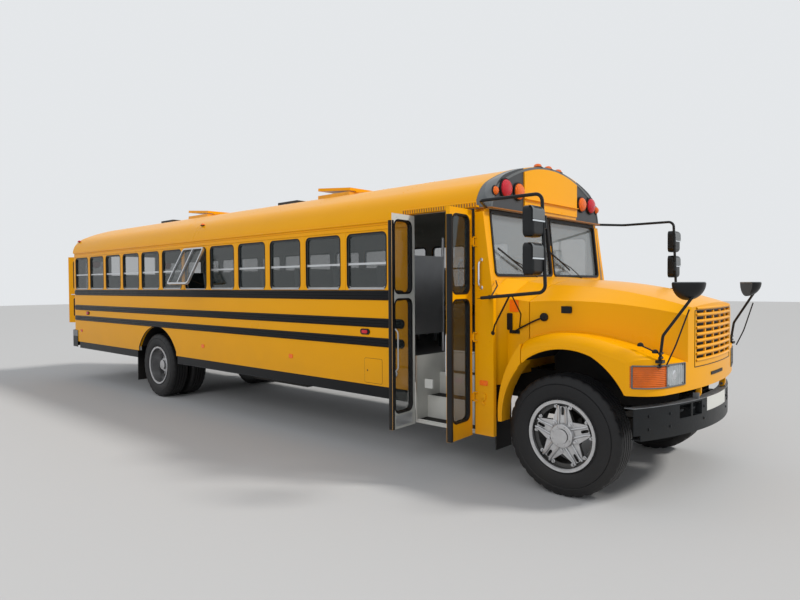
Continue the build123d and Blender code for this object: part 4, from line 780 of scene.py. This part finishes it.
def make_side_lamps():
    """Marker lamps, reflectors, access door and cap on the sides."""
    amber, red, dark, yellow, chrome = (bmesh.new() for _ in range(5))
    cap = ((0, 0.046), (0.012, 0.045), (0.016, 0.038), (0.018, 0.022), (0.024, 0.020), (0.026, 0.001))
    hatch = (8.146, 0.814)
    for s in (1, -1):
        y = s * SKIN
        for x, z in ((4.73, 0.86), (6.753, 0.867)):
            prism(amber, rounded(x, z, 0.075, 0.05, 0.012), "y", y, s * 1.186)
        prism(amber, rounded(9.539, 0.831, 0.085, 0.045, 0.008), "y", y, s * 1.187)
        prism(red, rounded(0.30, 0.879, 0.075, 0.045, 0.012), "y", y, s * 1.186)
        for x in (8.03, 0.62):
            prism(dark, rounded(x, 1.222, 0.14, 0.062, 0.030), "y", y, s * 1.190)
            lamp = rounded(x, 1.222, 0.085, 0.036, 0.017)
            raised(red, ((lamp, 1.190), (lamp, 1.198), (rounded(x, 1.222, 0.06, 0.02, 0.009), 1.203)), s)
        eave_y, eave_z = roof_point(0.085)
        for x, lit in ((0.02, red), (4.607, amber)):
            dome(dark, (x + 0.03, -s * eave_y, eave_z), 0.042, 0.008, "z", n=16, base=0.004)
            dome(lit, (x + 0.03, -s * eave_y + s * 0.006, eave_z + 0.006), 0.030, 0.028, "z", n=16)
        lathe(chrome, cap, (8.454, y, 0.82), "y", 28, s)
        ring(dark, hatch, (0.262, 0.262, 0.02), (0.256, 0.256, 0.018), "y", y, s * 1.1812)
        ring(yellow, hatch, (0.256, 0.256, 0.018), (0.004, 0.004, 0.001), "y", y, s * 1.1822)
        dome(dark, (8.06, s * 1.182, 0.814), 0.009, 0.004, "y", s, n=12)
    # The amber and red lenses glow a little, also on the reflectors, which are no lamps: there the glow is
    # painted light
    piece(amber, "side_reflectors", "amber", "root", bevel=0.001)
    piece(red, "side_markers", "red", "root", bevel=0.0008)
    piece(dark, "side_lamp_bases", "rubber", "root", bevel=0.001)
    piece(yellow, "access_doors", "yellow", "root", bevel=0.001)
    piece(chrome, "side_caps", "chrome", "root")


def well_rows(run, s, centre, gap, stations):
    """Rows across a wheel well, set off its opening and away from a centre."""
    rows = []
    for x, z in run:
        out = Vector((x - centre[0], 0, z - centre[1])).normalized() * gap
        rows.append([Vector((x, s * y, z)) + out for y in stations])
    return rows


def make_arches():
    """Beads round the wheel openings and dark liners inside them."""
    front = arc3(*ARCH[0:3]) + arc3(*ARCH[2:5])[1:] + arc3(*ARCH[4:7])[1:]
    rear = arc3((2.71, 0.723), (3.33, 1.085), (3.95, 0.723), 20)
    on_hood = [(x, z) for x, z in front if x >= 9.903]
    on_cowl = [(x, z) for x, z in front if x <= 9.889]
    hood, hood_liner, cowl, rear_bead, rear_liner = (bmesh.new() for _ in range(5))
    for s in (1, -1):
        for bm, run in ((hood, on_hood), (cowl, on_cowl)):
            tube(bm, [(x, s * 1.147, z) for x, z in run], 0.009)
        grid(hood_liner, well_rows(on_hood, s, (10.25, 0.55), 0.010, (0.545, 0.75, 0.95, 1.136)))
        grid(hood_liner, [[(x, s * 0.545, z + 0.008), (x, s * 0.545, 0.875)] for x, z in on_hood])
        tube(rear_bead, [(x, s * 1.174, z) for x, z in [(2.71, 0.663)] + rear + [(3.95, 0.663)]], 0.007)
        grid(rear_liner, well_rows(rear, s, (3.33, 0.6), 0.006, (0.56, 0.85, 1.134)))
    piece(hood, "arch_bead_hood", "yellow", "hood", sharp=60)
    piece(hood_liner, "arch_liners", "chassis", "hood", sharp=60)
    piece(cowl, "arch_bead_cowl", "yellow", "root", sharp=60)
    piece(rear_bead, "arch_bead_rear", "rubber", "root", sharp=60)
    piece(rear_liner, "arch_liners_rear", "chassis", "root", sharp=60)


# Front of the cab
def face_at(y, z, out=0.0):
    """Point on the cab's front, which leans back from the foot of the windscreen up."""
    run, rise = 0.075, 0.695
    lean = math.atan2(run, rise) if z > SCREEN_FOOT else 0.0
    x = FRONT_X - run * max(0.0, z - SCREEN_FOOT) / rise
    return (x + out * math.cos(lean), y, z + out * math.sin(lean))


def make_windscreen_trim():
    """Seals, wipers and the strip over the windscreen."""
    seals, wipers, drip = bmesh.new(), bmesh.new(), bmesh.new()
    for s in (1, -1):
        outer = rounded(s * 0.546, 2.084, 1.060, 0.600, 0.056, 8)
        inner = rounded(s * 0.546, 2.084, 1.010, 0.552, 0.034, 8)
        edges = ((outer, 0.001), (outer, 0.010), (inner, 0.006), (inner, -0.024))
        grid(seals, [[face_at(a, b, out) for a, b in outline] for outline, out in edges], close_u=True)
    for y0, y1 in ((0.60, 0.16), (-0.36, -0.80)):
        foot = Vector(face_at(y0, 1.775, 0.012))
        bar(wipers, [foot - Vector((0.01, 0, 0)), foot + Vector((0.012, 0, 0)),
                     face_at((y0 + y1) / 2, 1.88, 0.02), face_at(y1, 1.95, 0.014)], 0.02, 0.005)
        blade = [face_at(y1 + 0.20, 1.86, 0.010), face_at(y1, 1.95, 0.013), face_at(y1 - 0.20, 2.04, 0.010)]
        tube(wipers, blade, 0.006, flat=1.6)
        dome(wipers, foot - Vector((0.010, 0, 0)), 0.018, 0.014, "x", n=14)
    box(drip, (9.50, 9.585), (-1.122, 1.122), (2.396, 2.404))
    tube(drip, [(9.585, -1.118, 2.400), (9.585, 1.118, 2.400)], 0.008)
    for s in (1, -1):
        tube(drip, [(9.585, s * 1.118, 2.400), (9.47, s * 1.172, 2.400)], 0.008)
    piece(seals, "windscreen_seals", "rubber", "root", sharp=50)
    piece(wipers, "wipers", "rubber", "root")
    piece(drip, "windscreen_drip_strip", "brown", "root", bevel=0.001)


def make_header_trim():
    """Edge band, sign frame, markers and the lamps' housings."""
    band, sign, shells, red, amber = (bmesh.new() for _ in range(5))
    section = ((9.4525, 0.0), (9.472, 0.14), (9.500, 0.40), (9.535, 0.72), (9.560, 0.94), (9.5725, 1.03),
               (9.5745, 1.12))
    rows = []
    for i in range(61):
        y, z = roof_point(i / 60, 0.004)
        row = []
        for x, w in section:
            narrow = (HALF - 0.068 * min(1.0, w)) / HALF
            drop = 0.005 * w + (0.02 if w > 1.05 else 0.0)
            row.append((x, y * narrow * (1.0 if w < 1.1 else 0.985), z - drop))
        if row[0][2] > 2.402:
            rows.append(row)
    grid(band, rows)
    piece(band, "header_edge_band", "mirror_grey", "root", sharp=60)
    outline = [(-0.55, 2.79), (-0.55, 2.44), (0.55, 2.44), (0.55, 2.79)]
    outline += arc3((0.55, 2.79), (0.0, 2.872), (-0.55, 2.79), 16)[1:-1]
    prism(sign, outline, "x", 9.5785, 9.5825)
    box(sign, (9.579, 9.606), (-0.545, 0.545), (2.528, 2.536))
    for y, z in ((-0.52, 2.47), (0.52, 2.47), (-0.52, 2.77), (0.52, 2.77), (-0.2, 2.46), (0.2, 2.46)):
        dome(sign, (9.582, y, z), 0.008, 0.004, "x", n=10)
    piece(sign, "sign_panel_blank", "yellow", "root", bevel=0.002)
    housing = ((0.0, 1.08), (0.012, 1.10), (0.020, 1.04), (0.018, 0.94))
    front_lens = ((0.006, 0.95), (0.022, 0.94), (0.034, 0.86), (0.046, 0.68), (0.054, 0.40))
    rear_lens = ((0.006, 0.083), (0.022, 0.083), (0.034, 0.075), (0.046, 0.06), (0.057, 0.001))
    marker = ((0.0, 0.040), (0.014, 0.040), (0.028, 0.030), (0.034, 0.014), (0.035, 0.0008))
    for s in (1, -1):
        for y, z, r, bm in ((0.882, 2.595, 0.088, red), (0.658, 2.590, 0.080, amber)):
            centre = (9.570, s * y, z)
            lathe(shells, [(d, k * r) for d, k in housing], centre, "x", 40)
            lathe(bm, [(d, k * r) for d, k in front_lens] + [(0.057, 0.0008)], centre, "x", 40)
        dome(shells, (9.567, s * 1.045, 2.560), 0.050, 0.010, "x", base=0.004)
        dome(amber, (9.571, s * 1.045, 2.560), 0.040, 0.034, "x")
    for y in (-0.21, 0.0, 0.21):
        z = 2.893 - 0.10 * y * y
        dome(shells, (9.530, y, z - 0.004), 0.052, 0.010, "z")
        lathe(amber, marker, (9.530, y, z), "z", 20)
    for s in (1, -1):
        centre = (-0.085, s * 0.75, 2.18)
        lathe(shells, [(d, k * 0.088) for d, k in housing], centre, "x", 40, -1)
        lathe(red, rear_lens, centre, "x", 40, -1)
        ring(shells, (s * 0.89, 1.25), (0.16, 0.16, 0.02), (0.13, 0.13, 0.012), "x", -0.112, -0.0855)
        prism(red, rounded(s * 0.89, 1.25, 0.13, 0.13, 0.012), "x", -0.108, -0.0855)
    piece(shells, "lamp_housings", "rubber", "root")
    piece(red, "warning_lamps_red", "red", "root", ("red_lamps",))
    piece(amber, "warning_lamps_amber", "amber", "root", ("amber_lamps",))


# Nose
def bowed(x, rise, half, y):
    """Station at y of an arc that stands at x in the middle and is rise behind it at half."""
    r = (rise * rise + half * half) / (2 * rise)
    return x - r + math.sqrt(r * r - y * y)


def nose_front(y):
    """Station of the nose's front face at a distance out."""
    a = abs(y)
    if a <= NOSE_HALF:
        return bowed(11.139, 0.109, NOSE_HALF, a)
    pts = arc3(*NOSE_CORNER, 12)
    for (x0, y0), (x1, y1) in zip(pts, pts[1:]):
        if y0 <= a <= y1:
            return x0 + (x1 - x0) * (a - y0) / (y1 - y0)
    return NOSE_CORNER[2][0]


def corner_run(y0, x1, z, s):
    """Points round the nose's corner from the front at y0 to the side at station x1."""
    out = 0.004
    ys = [y0 + (NOSE_HALF - y0) * i / 8 for i in range(8)]
    run = [(nose_front(y) + out, s * y, z) for y in ys]
    return run + [(x + out * 0.7, s * (y + out * 0.7), z) for x, y in arc3(*NOSE_CORNER, 14) if x >= x1]


def across(half, n=16, middle=0.0):
    """Evenly spaced distances across the nose."""
    return [middle - half + 2 * half * i / n for i in range(n + 1)]


def make_nose_trim():
    """Lamp bezels and reflectors, the grille's outline, backing and slats."""
    grey, glow, dark, slats = (bmesh.new() for _ in range(4))
    for s in (1, -1):
        low, high = (corner_run(0.672, 10.835, z, s) for z in (0.921, 1.090))
        tube(grey, low, 0.0055)
        tube(grey, high, 0.0055)
        for k in (0, -1):
            tube(grey, [low[k], high[k]], 0.0065)
        x = nose_front(0.928) + 0.006
        tube(grey, [(x, s * 0.928, 0.921), (x, s * 0.928, 1.090)], 0.004)
        for y in (0.70, 0.90):
            for z in (0.935, 1.078):
                dome(grey, (nose_front(y) + 0.001, s * y, z), 0.006, 0.005, "x", n=8, steps=3)
        rows = [[(nose_front(y) - 0.016, s * y, z) for z in (0.935, 1.005, 1.078)]
                for y in (0.70 + 0.20 * i / 8 for i in range(9))]
        grid(glow, rows)
        dome(glow, (nose_front(0.79) - 0.012, s * 0.79, 1.006), 0.055, 0.012, "x", n=24)
    piece(grey, "lamp_bezels", "mirror_grey", "hood", sharp=60)
    piece(glow, "headlamp_reflectors", "chrome", "hood")
    for z in (1.038, 1.492):
        tube(dark, [(nose_front(y) + 0.0005, y, z) for y in across(0.502)], 0.0035, 6)
    for s in (1, -1):
        x = nose_front(0.502) + 0.0005
        tube(dark, [(x, s * 0.502, 1.038), (x, s * 0.502, 1.492)], 0.0035, 6)
    grid(dark, [[(nose_front(y) - 0.035, y, z) for z in (1.05, 1.30, 1.52)] for y in across(0.52)])
    plate = across(0.165, 6, 0.005)
    outline = [(nose_front(y) + 0.006, y) for y in plate] + [(nose_front(y) + 0.0003, y) for y in plate[::-1]]
    prism(dark, outline, "z", 0.942, 0.968)
    piece(dark, "grille_backing", "rubber", "hood", sharp=50)
    lip = ((-0.006, -0.0125), (0.005, -0.009), (0.010, 0.0), (0.005, 0.009), (-0.006, 0.0125))
    for k in range(9):
        z = 1.115 + 0.0526 * (k - 0.5)
        grid(slats, [[(nose_front(y) + dx, y, z + dz) for dx, dz in lip] for y in across(0.475)])
    piece(slats, "grille_slats", "yellow", "hood", sharp=60)


def make_nose_fittings():
    """Latches, badge plates, seams and the cowl's side fittings."""
    rubber, dark, chrome, amber, yellow, badges = (bmesh.new() for _ in range(6))
    button = ((0, 0.036), (0.018, 0.036), (0.026, 0.028), (0.028, 0.016), (0.034, 0.014), (0.035, 0.001))
    badge = rounded(10.177, 1.494, 0.165, 0.060, 0.012)
    for s in (1, -1):
        bar(rubber, [(9.735, s * 1.018, 1.280), (9.80, s * 1.022, 1.318), (9.93, s * 1.014, 1.385),
                     (10.020, s * 0.992, 1.425)], 0.03, 0.011, flat=0.7)
        lathe(rubber, button, (10.026, s * 0.971, 1.428), "y", 24, s)
        box(dark, (9.70, 9.80), sorted((s * 1.001, s * 1.014)), (1.275, 1.305))
        prism(dark, badge, "y", s * 0.932, s * 0.941)
        prism(badges, badge, "y", s * 0.925, s * 0.939)
        prism(amber, rounded(9.744, 1.520, 0.092, 0.105, 0.006), "y", s * 1.0035, s * 1.009)
        prism(dark, rounded(9.700, 1.380, 0.055, 0.150, 0.010), "y", s * 1.0035, s * 1.014)
        # Grab handle, latch ornament and hinge line on the front post
        bar(chrome, [(9.513, s * 1.180, 1.930), (9.513, s * 1.222, 1.905), (9.513, s * 1.222, 1.712),
                     (9.513, s * 1.180, 1.688)], 0.03, 0.009)
        for z in (1.933, 1.685):
            dome(chrome, (9.513, s * 1.1805, z), 0.018, 0.006, "y", s, n=14)
        bar(yellow, [(9.530, s * 1.184, 0.730), (9.553, s * 1.190, 0.722), (9.553, s * 1.190, 0.685),
                     (9.526, s * 1.190, 0.676), (9.526, s * 1.190, 0.650), (9.545, s * 1.184, 0.640)],
            0.012, 0.009)
        prism(yellow, rounded(9.540, 0.715, 0.050, 0.040, 0.010), "y", s * SKIN, s * 1.196)
        for z in (0.76, 1.20, 1.60, 2.05, 2.30):
            dome(yellow, (9.60 - max(0, z - 1.58) * 0.14, s * 1.1802, z), 0.007, 0.004, "y", s, n=8, steps=3)
    tube(dark, [(9.441, -1.1812, 0.40), (9.441, -1.1812, 2.36)], 0.003, 6)
    tube(dark, [(9.47, -1.1802, 1.588), (9.636, -1.1802, 1.588)], 0.0025, 6)
    piece(rubber, "hood_latches", "rubber", "hood")
    # These reflectors are no lamps: the amber lens's glow on them is painted light
    piece(amber, "cowl_side_reflectors", "amber", "root", bevel=0.001)
    piece(chrome, "post_handles", "chrome", "root")
    piece(yellow, "post_latches", "yellow", "root")
    piece(badges, "hood_badge_plates", "rubber", "hood", bevel=0.002)
    piece(dark, "cowl_fittings", "rubber", "root", bevel=0.001)


def make_bumper_trim():
    """Blank number plate, lip, loops and bolts on the front bumper."""
    plate, dark = bmesh.new(), bmesh.new()

    def bow(y, out=0.0):
        return bowed(11.15, 0.275, 1.155, y) + out

    ys = across(0.255, 6, -0.015)
    outline = [(bow(y, 0.0045), y) for y in ys] + [(bow(y, 0.0006), y) for y in ys[::-1]]
    prism(plate, outline, "z", 0.655, 0.768)
    piece(plate, "blank_plate", "pale", "root", bevel=0.001)
    for s in (1, -1):
        tube(dark, [(bow(y, -0.02), s * y, 0.5235) for y in (0.02 + 1.08 * i / 20 for i in range(21))], 0.007)
        for y in (0.44, 0.61):
            x, z = bow(y), 0.70
            bar(dark, [(x - 0.10, s * (y - 0.03), z), (x - 0.03, s * (y - 0.03), z),
                       (x - 0.03, s * (y + 0.03), z), (x - 0.10, s * (y + 0.03), z)], 0.03, 0.011)
        for y in (0.32, 0.80, 1.02):
            for z in (0.60, 0.70):
                dome(dark, (bow(y), s * y, z), 0.012, 0.007, "x", n=12)
    piece(dark, "bumper_bolts", "bumper", "root")


# Mirrors
def make_mirror_trim():
    """Hoods, glasses and stays of the side mirrors, arms and rims of the cross-view ones."""
    grey, glass, dark, arms, lens_rims = (bmesh.new() for _ in range(5))
    y0, y1, back, turn_r = 1.480, 1.672, 10.310, 0.045
    middle = (y0 + y1) / 2
    for s in (1, -1):
        for z, h in ((1.905, 0.25), (2.19, 0.24)):
            top = z + h / 2 + 0.0005
            rows = [[(back + 0.004, s * y, z + 0.012) for y in (y0 + 0.004, middle, y1 - 0.004)]]
            for t in (math.pi / 2 * i / 8 for i in range(9)):
                x = back + 0.003 - turn_r * (1 - math.cos(t))
                edge = top - turn_r * (1 - math.sin(t))
                rows.append([(x, s * y, edge) for y in (y0 + 0.006, middle, y1 - 0.006)])
            grid(grey, rows)
            box(glass, (back, 10.317), sorted((s * (y0 + 0.01), s * (y1 - 0.01))), (z - 0.004, z + 0.008))
            prism(glass, rounded(s * (y0 + y1) / 2, z, 0.160, h - 0.03, 0.035), "x", 10.2265, 10.2278)
            tube(dark, [(10.30, s * 1.474, z - 0.05), (10.30, s * 1.474, z + 0.05)], 0.020, 10)
        # Stays between the loop, the post and the cowl
        bar(dark, [(10.00, s * 1.49, 1.623), (9.70, s * 1.25, 1.36), (9.635, s * 1.183, 1.284)], 0.02, 0.008)
        bar(dark, [(10.02, s * 1.49, 1.625), (9.93, s * 1.20, 1.46), (9.80, s * 1.006, 1.335)], 0.02, 0.006)
        bar(dark, [(9.82, s * 1.49, 1.608), (9.76, s * 1.30, 1.70), (9.615, s * 1.10, 1.745)], 0.02, 0.006)
        for x, z in ((9.635, 1.284), (9.60, 1.600)):
            dome(dark, (x, s * 1.1805, z), 0.020, 0.010, "y", s, n=14)
        bar(arms, [(11.055, s * 0.992, 1.10), (11.12, s * 0.995, 1.25), (11.205, s * 0.965, 1.52)],
            0.03, 0.006)
        bar(arms, [(10.972, s, 1.193), (10.86, s, 1.239)], 0.01, 0.006)
        for x, z in ((10.995, 1.085), (10.972, 1.193), (10.86, 1.239)):
            dome(arms, (x, s * 0.995, z - 0.01), 0.024, 0.022, "z", n=14, base=0.008)
        box(arms, (10.955, 11.035), sorted((s * 0.965, s * 1.03)), (1.112, 1.135))
        for z in (1.15, 1.185):
            pin = ((-0.028, 0.001), (-0.028, 0.012), (0.028, 0.012), (0.028, 0.001))
            lathe(arms, pin, (11.012, s * 0.992, z), "y", 8)
        turn, r = math.radians(s * 36), 0.121
        rim = []
        for t in (math.pi * 2 * i / 40 for i in range(41)):
            along, out = r * math.cos(t), r * max(0.0, math.sin(t))
            rim.append((11.162 - along * math.sin(turn) + out * math.cos(turn),
                        s * 0.88 + along * math.cos(turn) + out * math.sin(turn), 1.7165))
        tube(lens_rims, rim, 0.006)
    piece(grey, "mirror_hoods", "mirror_grey", "root", sharp=60)
    piece(glass, "mirror_glasses", "looking", "root")
    piece(dark, "mirror_stays", "mirror", "root")
    soften_node("side_mirrors", 0.002)
    piece(arms, "crossview_arms", "mirror", "hood")
    piece(lens_rims, "crossview_rims", "mirror_grey", "hood", sharp=60)


# Entrance door
def swung(origin, turn, flip=1):
    """Places points of a leaf that is drawn from its hinge and swung open by turn degrees."""
    a = math.radians(turn)

    def place(x, y, z):
        x *= flip
        return origin + Vector((x * math.cos(a) - y * math.sin(a), x * math.sin(a) + y * math.cos(a), z))

    return place


def make_doors():
    """Rubber edges, window seals, kick plates and handles on the two leaves."""
    for name, (hinge_x, flip, turn) in LEAF.items():
        body = f"entrance_{name}"
        place = swung(Vector((hinge_x, HINGE_Y, 0.0)), turn, flip)
        rubber, alu = bmesh.new(), bmesh.new()
        prism(rubber, rounded(0.3510, 0.0275, 0.043, 0.055, 0.018), "z", 0.352, 2.318, place)
        for z0, z1 in ((0.500, 1.578), (1.635, 2.325)):
            w, h = 0.271, z1 - z0
            centre = ((0.058 + 0.329) / 2, (z0 + z1) / 2)
            for outer, inner, y0, y1 in (((0.018, 0.068), (-0.016, 0.052), 0.0065, 0.0100),
                                         ((0.018, 0.068), (-0.016, 0.052), 0.0500, 0.0535),
                                         ((-0.001, 0.0595), (-0.014, 0.053), 0.0099, 0.0501)):
                sizes = [(w + grow, h + grow, corner) for grow, corner in (outer, inner)]
                ring(rubber, centre, *sizes, "y", y0, y1, place)
        piece(rubber, f"door_rubber_{name}", "rubber", body, bevel=0.001)
        prism(alu, rounded(0.19, 0.425, 0.262, 0.10, 0.008), "y", 0.0502, 0.0518, place)
        for x in (0.09, 0.29):
            for z in (0.395, 0.455, 1.595, 1.618, 2.35):
                at = Matrix.Translation(place(x, 0.0505, z))
                bmesh.ops.create_icosphere(alu, subdivisions=1, radius=0.0045, matrix=at)
        x, foot, grip = (0.325, 0.052, 0.085) if name == "rear" else (0.34, 0.050, 0.072)
        path = ((foot, 0.90), (grip, 0.93), (grip, 1.27), (foot, 1.30))
        bar(alu, [place(x, y, z) for y, z in path], 0.03, 0.008)
        piece(alu, f"door_fittings_{name}", "alu", body)
        soften_node(f"door_leaf_{name}", 0.003)


def make_steps():
    """Nosings, ribbed treads, a handrail and a switch box in the step well."""
    white, dark, rail = bmesh.new(), bmesh.new(), bmesh.new()
    riser, depth = -HALF + 0.215, 0.2
    for k, z in enumerate((0.375, 0.590, 0.805)):
        y = riser + depth * (k - 1) if k else -1.129
        tube(white, [(8.708, y + 0.013, z - 0.004), (9.412, y + 0.013, z - 0.004)], 0.011)
        for i in range(9):
            rib = y + 0.03 + 0.019 * i
            if rib < riser + depth * k - 0.01:
                box(dark, (8.712, 9.408), (rib, rib + 0.009), (z + 0.0003, z + 0.004))
    tube(white, [(8.70, -0.571, 1.012), (9.43, -0.571, 1.012)], 0.011)
    box(rail, (8.80, 8.90), (-1.128, -1.100), (0.700, 0.790))
    bar(rail, [(9.40, -1.02, 0.90), (9.40, -0.98, 1.30), (9.40, -0.66, 1.62)], 0.1, 0.014, 10)
    piece(white, "step_nosings", "pale", "root")
    piece(dark, "step_treads", "rubber", "root")
    piece(rail, "entrance_fittings", "pale", "root", bevel=0.004)


# Cabin
def evaluated_mesh(obj):
    return bpy.data.meshes.new_from_object(obj.evaluated_get(bpy.context.evaluated_depsgraph_get()))


def soft_box(name, size, voxel, cap):
    """A stuffed pad about the origin: remeshed, blown up by cloth pressure and capped."""
    bm = bmesh.new()
    bmesh.ops.create_cube(bm, size=1.0)
    bmesh.ops.scale(bm, vec=size, verts=bm.verts)
    bmesh.ops.bevel(bm, geom=bm.edges[:], offset=min(size) * 0.24, segments=3, affect="EDGES", profile=0.6)
    mesh = bpy.data.meshes.new(name)
    bm.to_mesh(mesh)
    bm.free()
    obj = bpy.data.objects.new(name, mesh)
    link(obj)
    mod = obj.modifiers.new("remesh", "REMESH")
    mod.mode = "VOXEL"
    mod.voxel_size = voxel
    bpy.context.view_layer.update()
    base = evaluated_mesh(obj)
    obj.modifiers.clear()
    obj.data = base
    start = [v.co.copy() for v in base.vertices]
    mod = obj.modifiers.new("cloth", "CLOTH")
    mod.settings.use_pressure = True
    mod.settings.uniform_pressure_force = 4.0
    mod.settings.effector_weights.gravity = 0.0
    mod.settings.quality = 5
    mod.point_cache.frame_start = 1
    mod.point_cache.frame_end = CLOTH_FRAMES
    for frame_number in range(1, CLOTH_FRAMES + 1):
        bpy.context.scene.frame_set(frame_number)
    blown = evaluated_mesh(obj)
    obj.modifiers.clear()
    for v, p in zip(blown.vertices, start):
        move = v.co - p
        if move.length > cap:
            v.co = p + move.normalized() * cap
    obj.data = blown
    bpy.context.scene.frame_set(1)
    verts = [v.co.copy() for v in obj.data.vertices]
    faces = [tuple(p.vertices) for p in obj.data.polygons]
    bpy.data.objects.remove(obj)
    return verts, faces


def add_pad(bm, pad, place, lean=0.0):
    """Adds a stuffed pad at a place, leaning back by some degrees."""
    matrix = Matrix.Translation(place) @ Matrix.Rotation(math.radians(-lean), 4, "Y")
    verts, faces = pad
    made = [bm.verts.new(matrix @ v) for v in verts]
    for f in faces:
        bm.faces.new([made[i] for i in f])


def make_seats():
    """Benches of one cushion and one tall back each, and the driver's seat."""
    width = 0.955
    cushion = soft_box("cushion_form", (0.405, width - 0.02, 0.095), 0.022, 0.012)
    back = soft_box("back_form", (0.068, width - 0.03, 0.50), 0.022, 0.010)
    piping, cloth, seat, pedestal = (bmesh.new() for _ in range(4))
    for k in range(LAST_BENCH + 1):
        x = 0.48 + PITCH * k
        for s in (1, -1):
            if k == LAST_BENCH:
                if s > 0:
                    continue
                for y in (-0.25, -1.03):
                    box(piping, (x + 0.10, x + 0.13), (y, y + 0.03), (1.013, 1.335))
            y = s * 0.6425
            add_pad(cloth, cushion, (x + 0.215, y, 1.387))
            add_pad(cloth, back, (x - 0.012, y, 1.680), 9.0)
            for side in (1, -1):
                bar(piping, [(x + 0.055, y + side * 0.445, 1.44), (x - 0.018, y + side * 0.445, 1.90),
                             (x - 0.060, y + side * 0.430, 1.925)], 0.03, 0.006, 6)
    obj = piece(cloth, "bench_cushions", "vinyl", "root", ("bench_seats",), sharp=80)
    piece(piping, "bench_piping", "vinyl", "root")
    base = soft_box("driver_cushion_form", (0.44, 0.45, 0.10), 0.018, 0.012)
    rest = soft_box("driver_back_form", (0.10, 0.45, 0.60), 0.018, 0.014)
    add_pad(seat, base, (9.045, 0.56, 1.42))
    add_pad(seat, rest, (8.802, 0.56, 1.765), 10.0)
    obj = piece(seat, "driver_cushions", "plastic", "root", ("driver_seat",), sharp=80)
    box(pedestal, (8.87, 9.15), (0.42, 0.70), (1.012, 1.06))
    box(pedestal, (8.92, 9.10), (0.48, 0.64), (1.06, 1.30))
    box(pedestal, (8.83, 9.24), (0.36, 0.76), (1.30, 1.352))
    piece(pedestal, "driver_pedestal", "plastic", "root", bevel=0.012)


def make_cab():
    """Instruments and the inner mirror, which show through the windscreen."""
    dash, mirror = bmesh.new(), bmesh.new()
    dial = ((0, 0.052), (-0.010, 0.052), (-0.014, 0.044), (-0.012, 0.001))
    for y in (0.50, 0.62):
        lathe(dash, dial, (9.309, y, 1.68), "x", 24)
    for i in range(6):
        box(dash, (9.300, 9.3097), (0.20 - 0.045 * i, 0.225 - 0.045 * i), (1.66, 1.70))
    box(dash, (9.20, 9.309), (-0.30, -0.05), (1.60, 1.66))
    piece(dash, "dash_instruments", "chrome", "root", bevel=0.001)
    prism(mirror, rounded(0.0, 2.28, 0.62, 0.12, 0.05), "x", 9.40, 9.418)
    tube(mirror, [(9.41, 0.0, 2.33), (9.42, 0.0, 2.39)], 0.010)
    piece(mirror, "inside_mirror", "plastic", "root", bevel=0.004)


# Rear
def make_rear():
    """Seals of the rear windows, seals and handles of the escape door."""
    rubber, seals, alu = bmesh.new(), bmesh.new(), bmesh.new()
    for s in (1, -1):
        ring(rubber, (s * 0.76, CAB_WINDOW_Z), (0.43, 0.583, 0.03), (0.39, 0.543, 0.015), "x",
             -0.092, -0.0853)
    piece(rubber, "rear_window_seals", "rubber", "root", bevel=0.001)
    place = swung(Vector((-0.095, -0.47, 0.0)), 125.0)
    for z0, z1 in ((1.69, 2.23), (1.13, 1.47)):
        centre, h = (0.465, (z0 + z1) / 2), z1 - z0
        for x0, x1 in ((0.0055, 0.0098), (0.0552, 0.0595)):
            ring(seals, centre, (0.715, h + 0.025, 0.03), (0.675, h - 0.015, 0.02), "x", x0, x1, place)
    piece(seals, "escape_seals", "rubber", "rear_door", bevel=0.001)
    inner = [(0.010, 0.84, 1.56), (-0.04, 0.84, 1.56), (-0.04, 0.70, 1.56), (0.010, 0.70, 1.56)]
    outer = [(0.055, 0.86, 1.40), (0.10, 0.86, 1.42), (0.10, 0.86, 1.68), (0.055, 0.86, 1.70)]
    for handle in (inner, outer):
        bar(alu, [place(*p) for p in handle], 0.02, 0.010)
    piece(alu, "escape_handles", "chrome", "rear_door")


make_camera()
make_stage()
dress_nodes()
make_tyres()
make_wheel_trim()
make_rub_rails()
make_gutters()
make_roof_rivets()
make_window_trim()
make_pushout()
make_side_lamps()
make_arches()
make_windscreen_trim()
make_header_trim()
make_nose_trim()
make_nose_fittings()
make_bumper_trim()
make_mirror_trim()
make_doors()
make_steps()
make_seats()
make_cab()
make_rear()
for node_name, width in (("front_bumper", 0.004), ("hood_shell", 0.003), ("step_well", 0.006),
                         ("rear_bumper", 0.004)):
    soften_node(node_name, width, 50.0)
bpy.context.scene.view_settings.view_transform = "Standard"
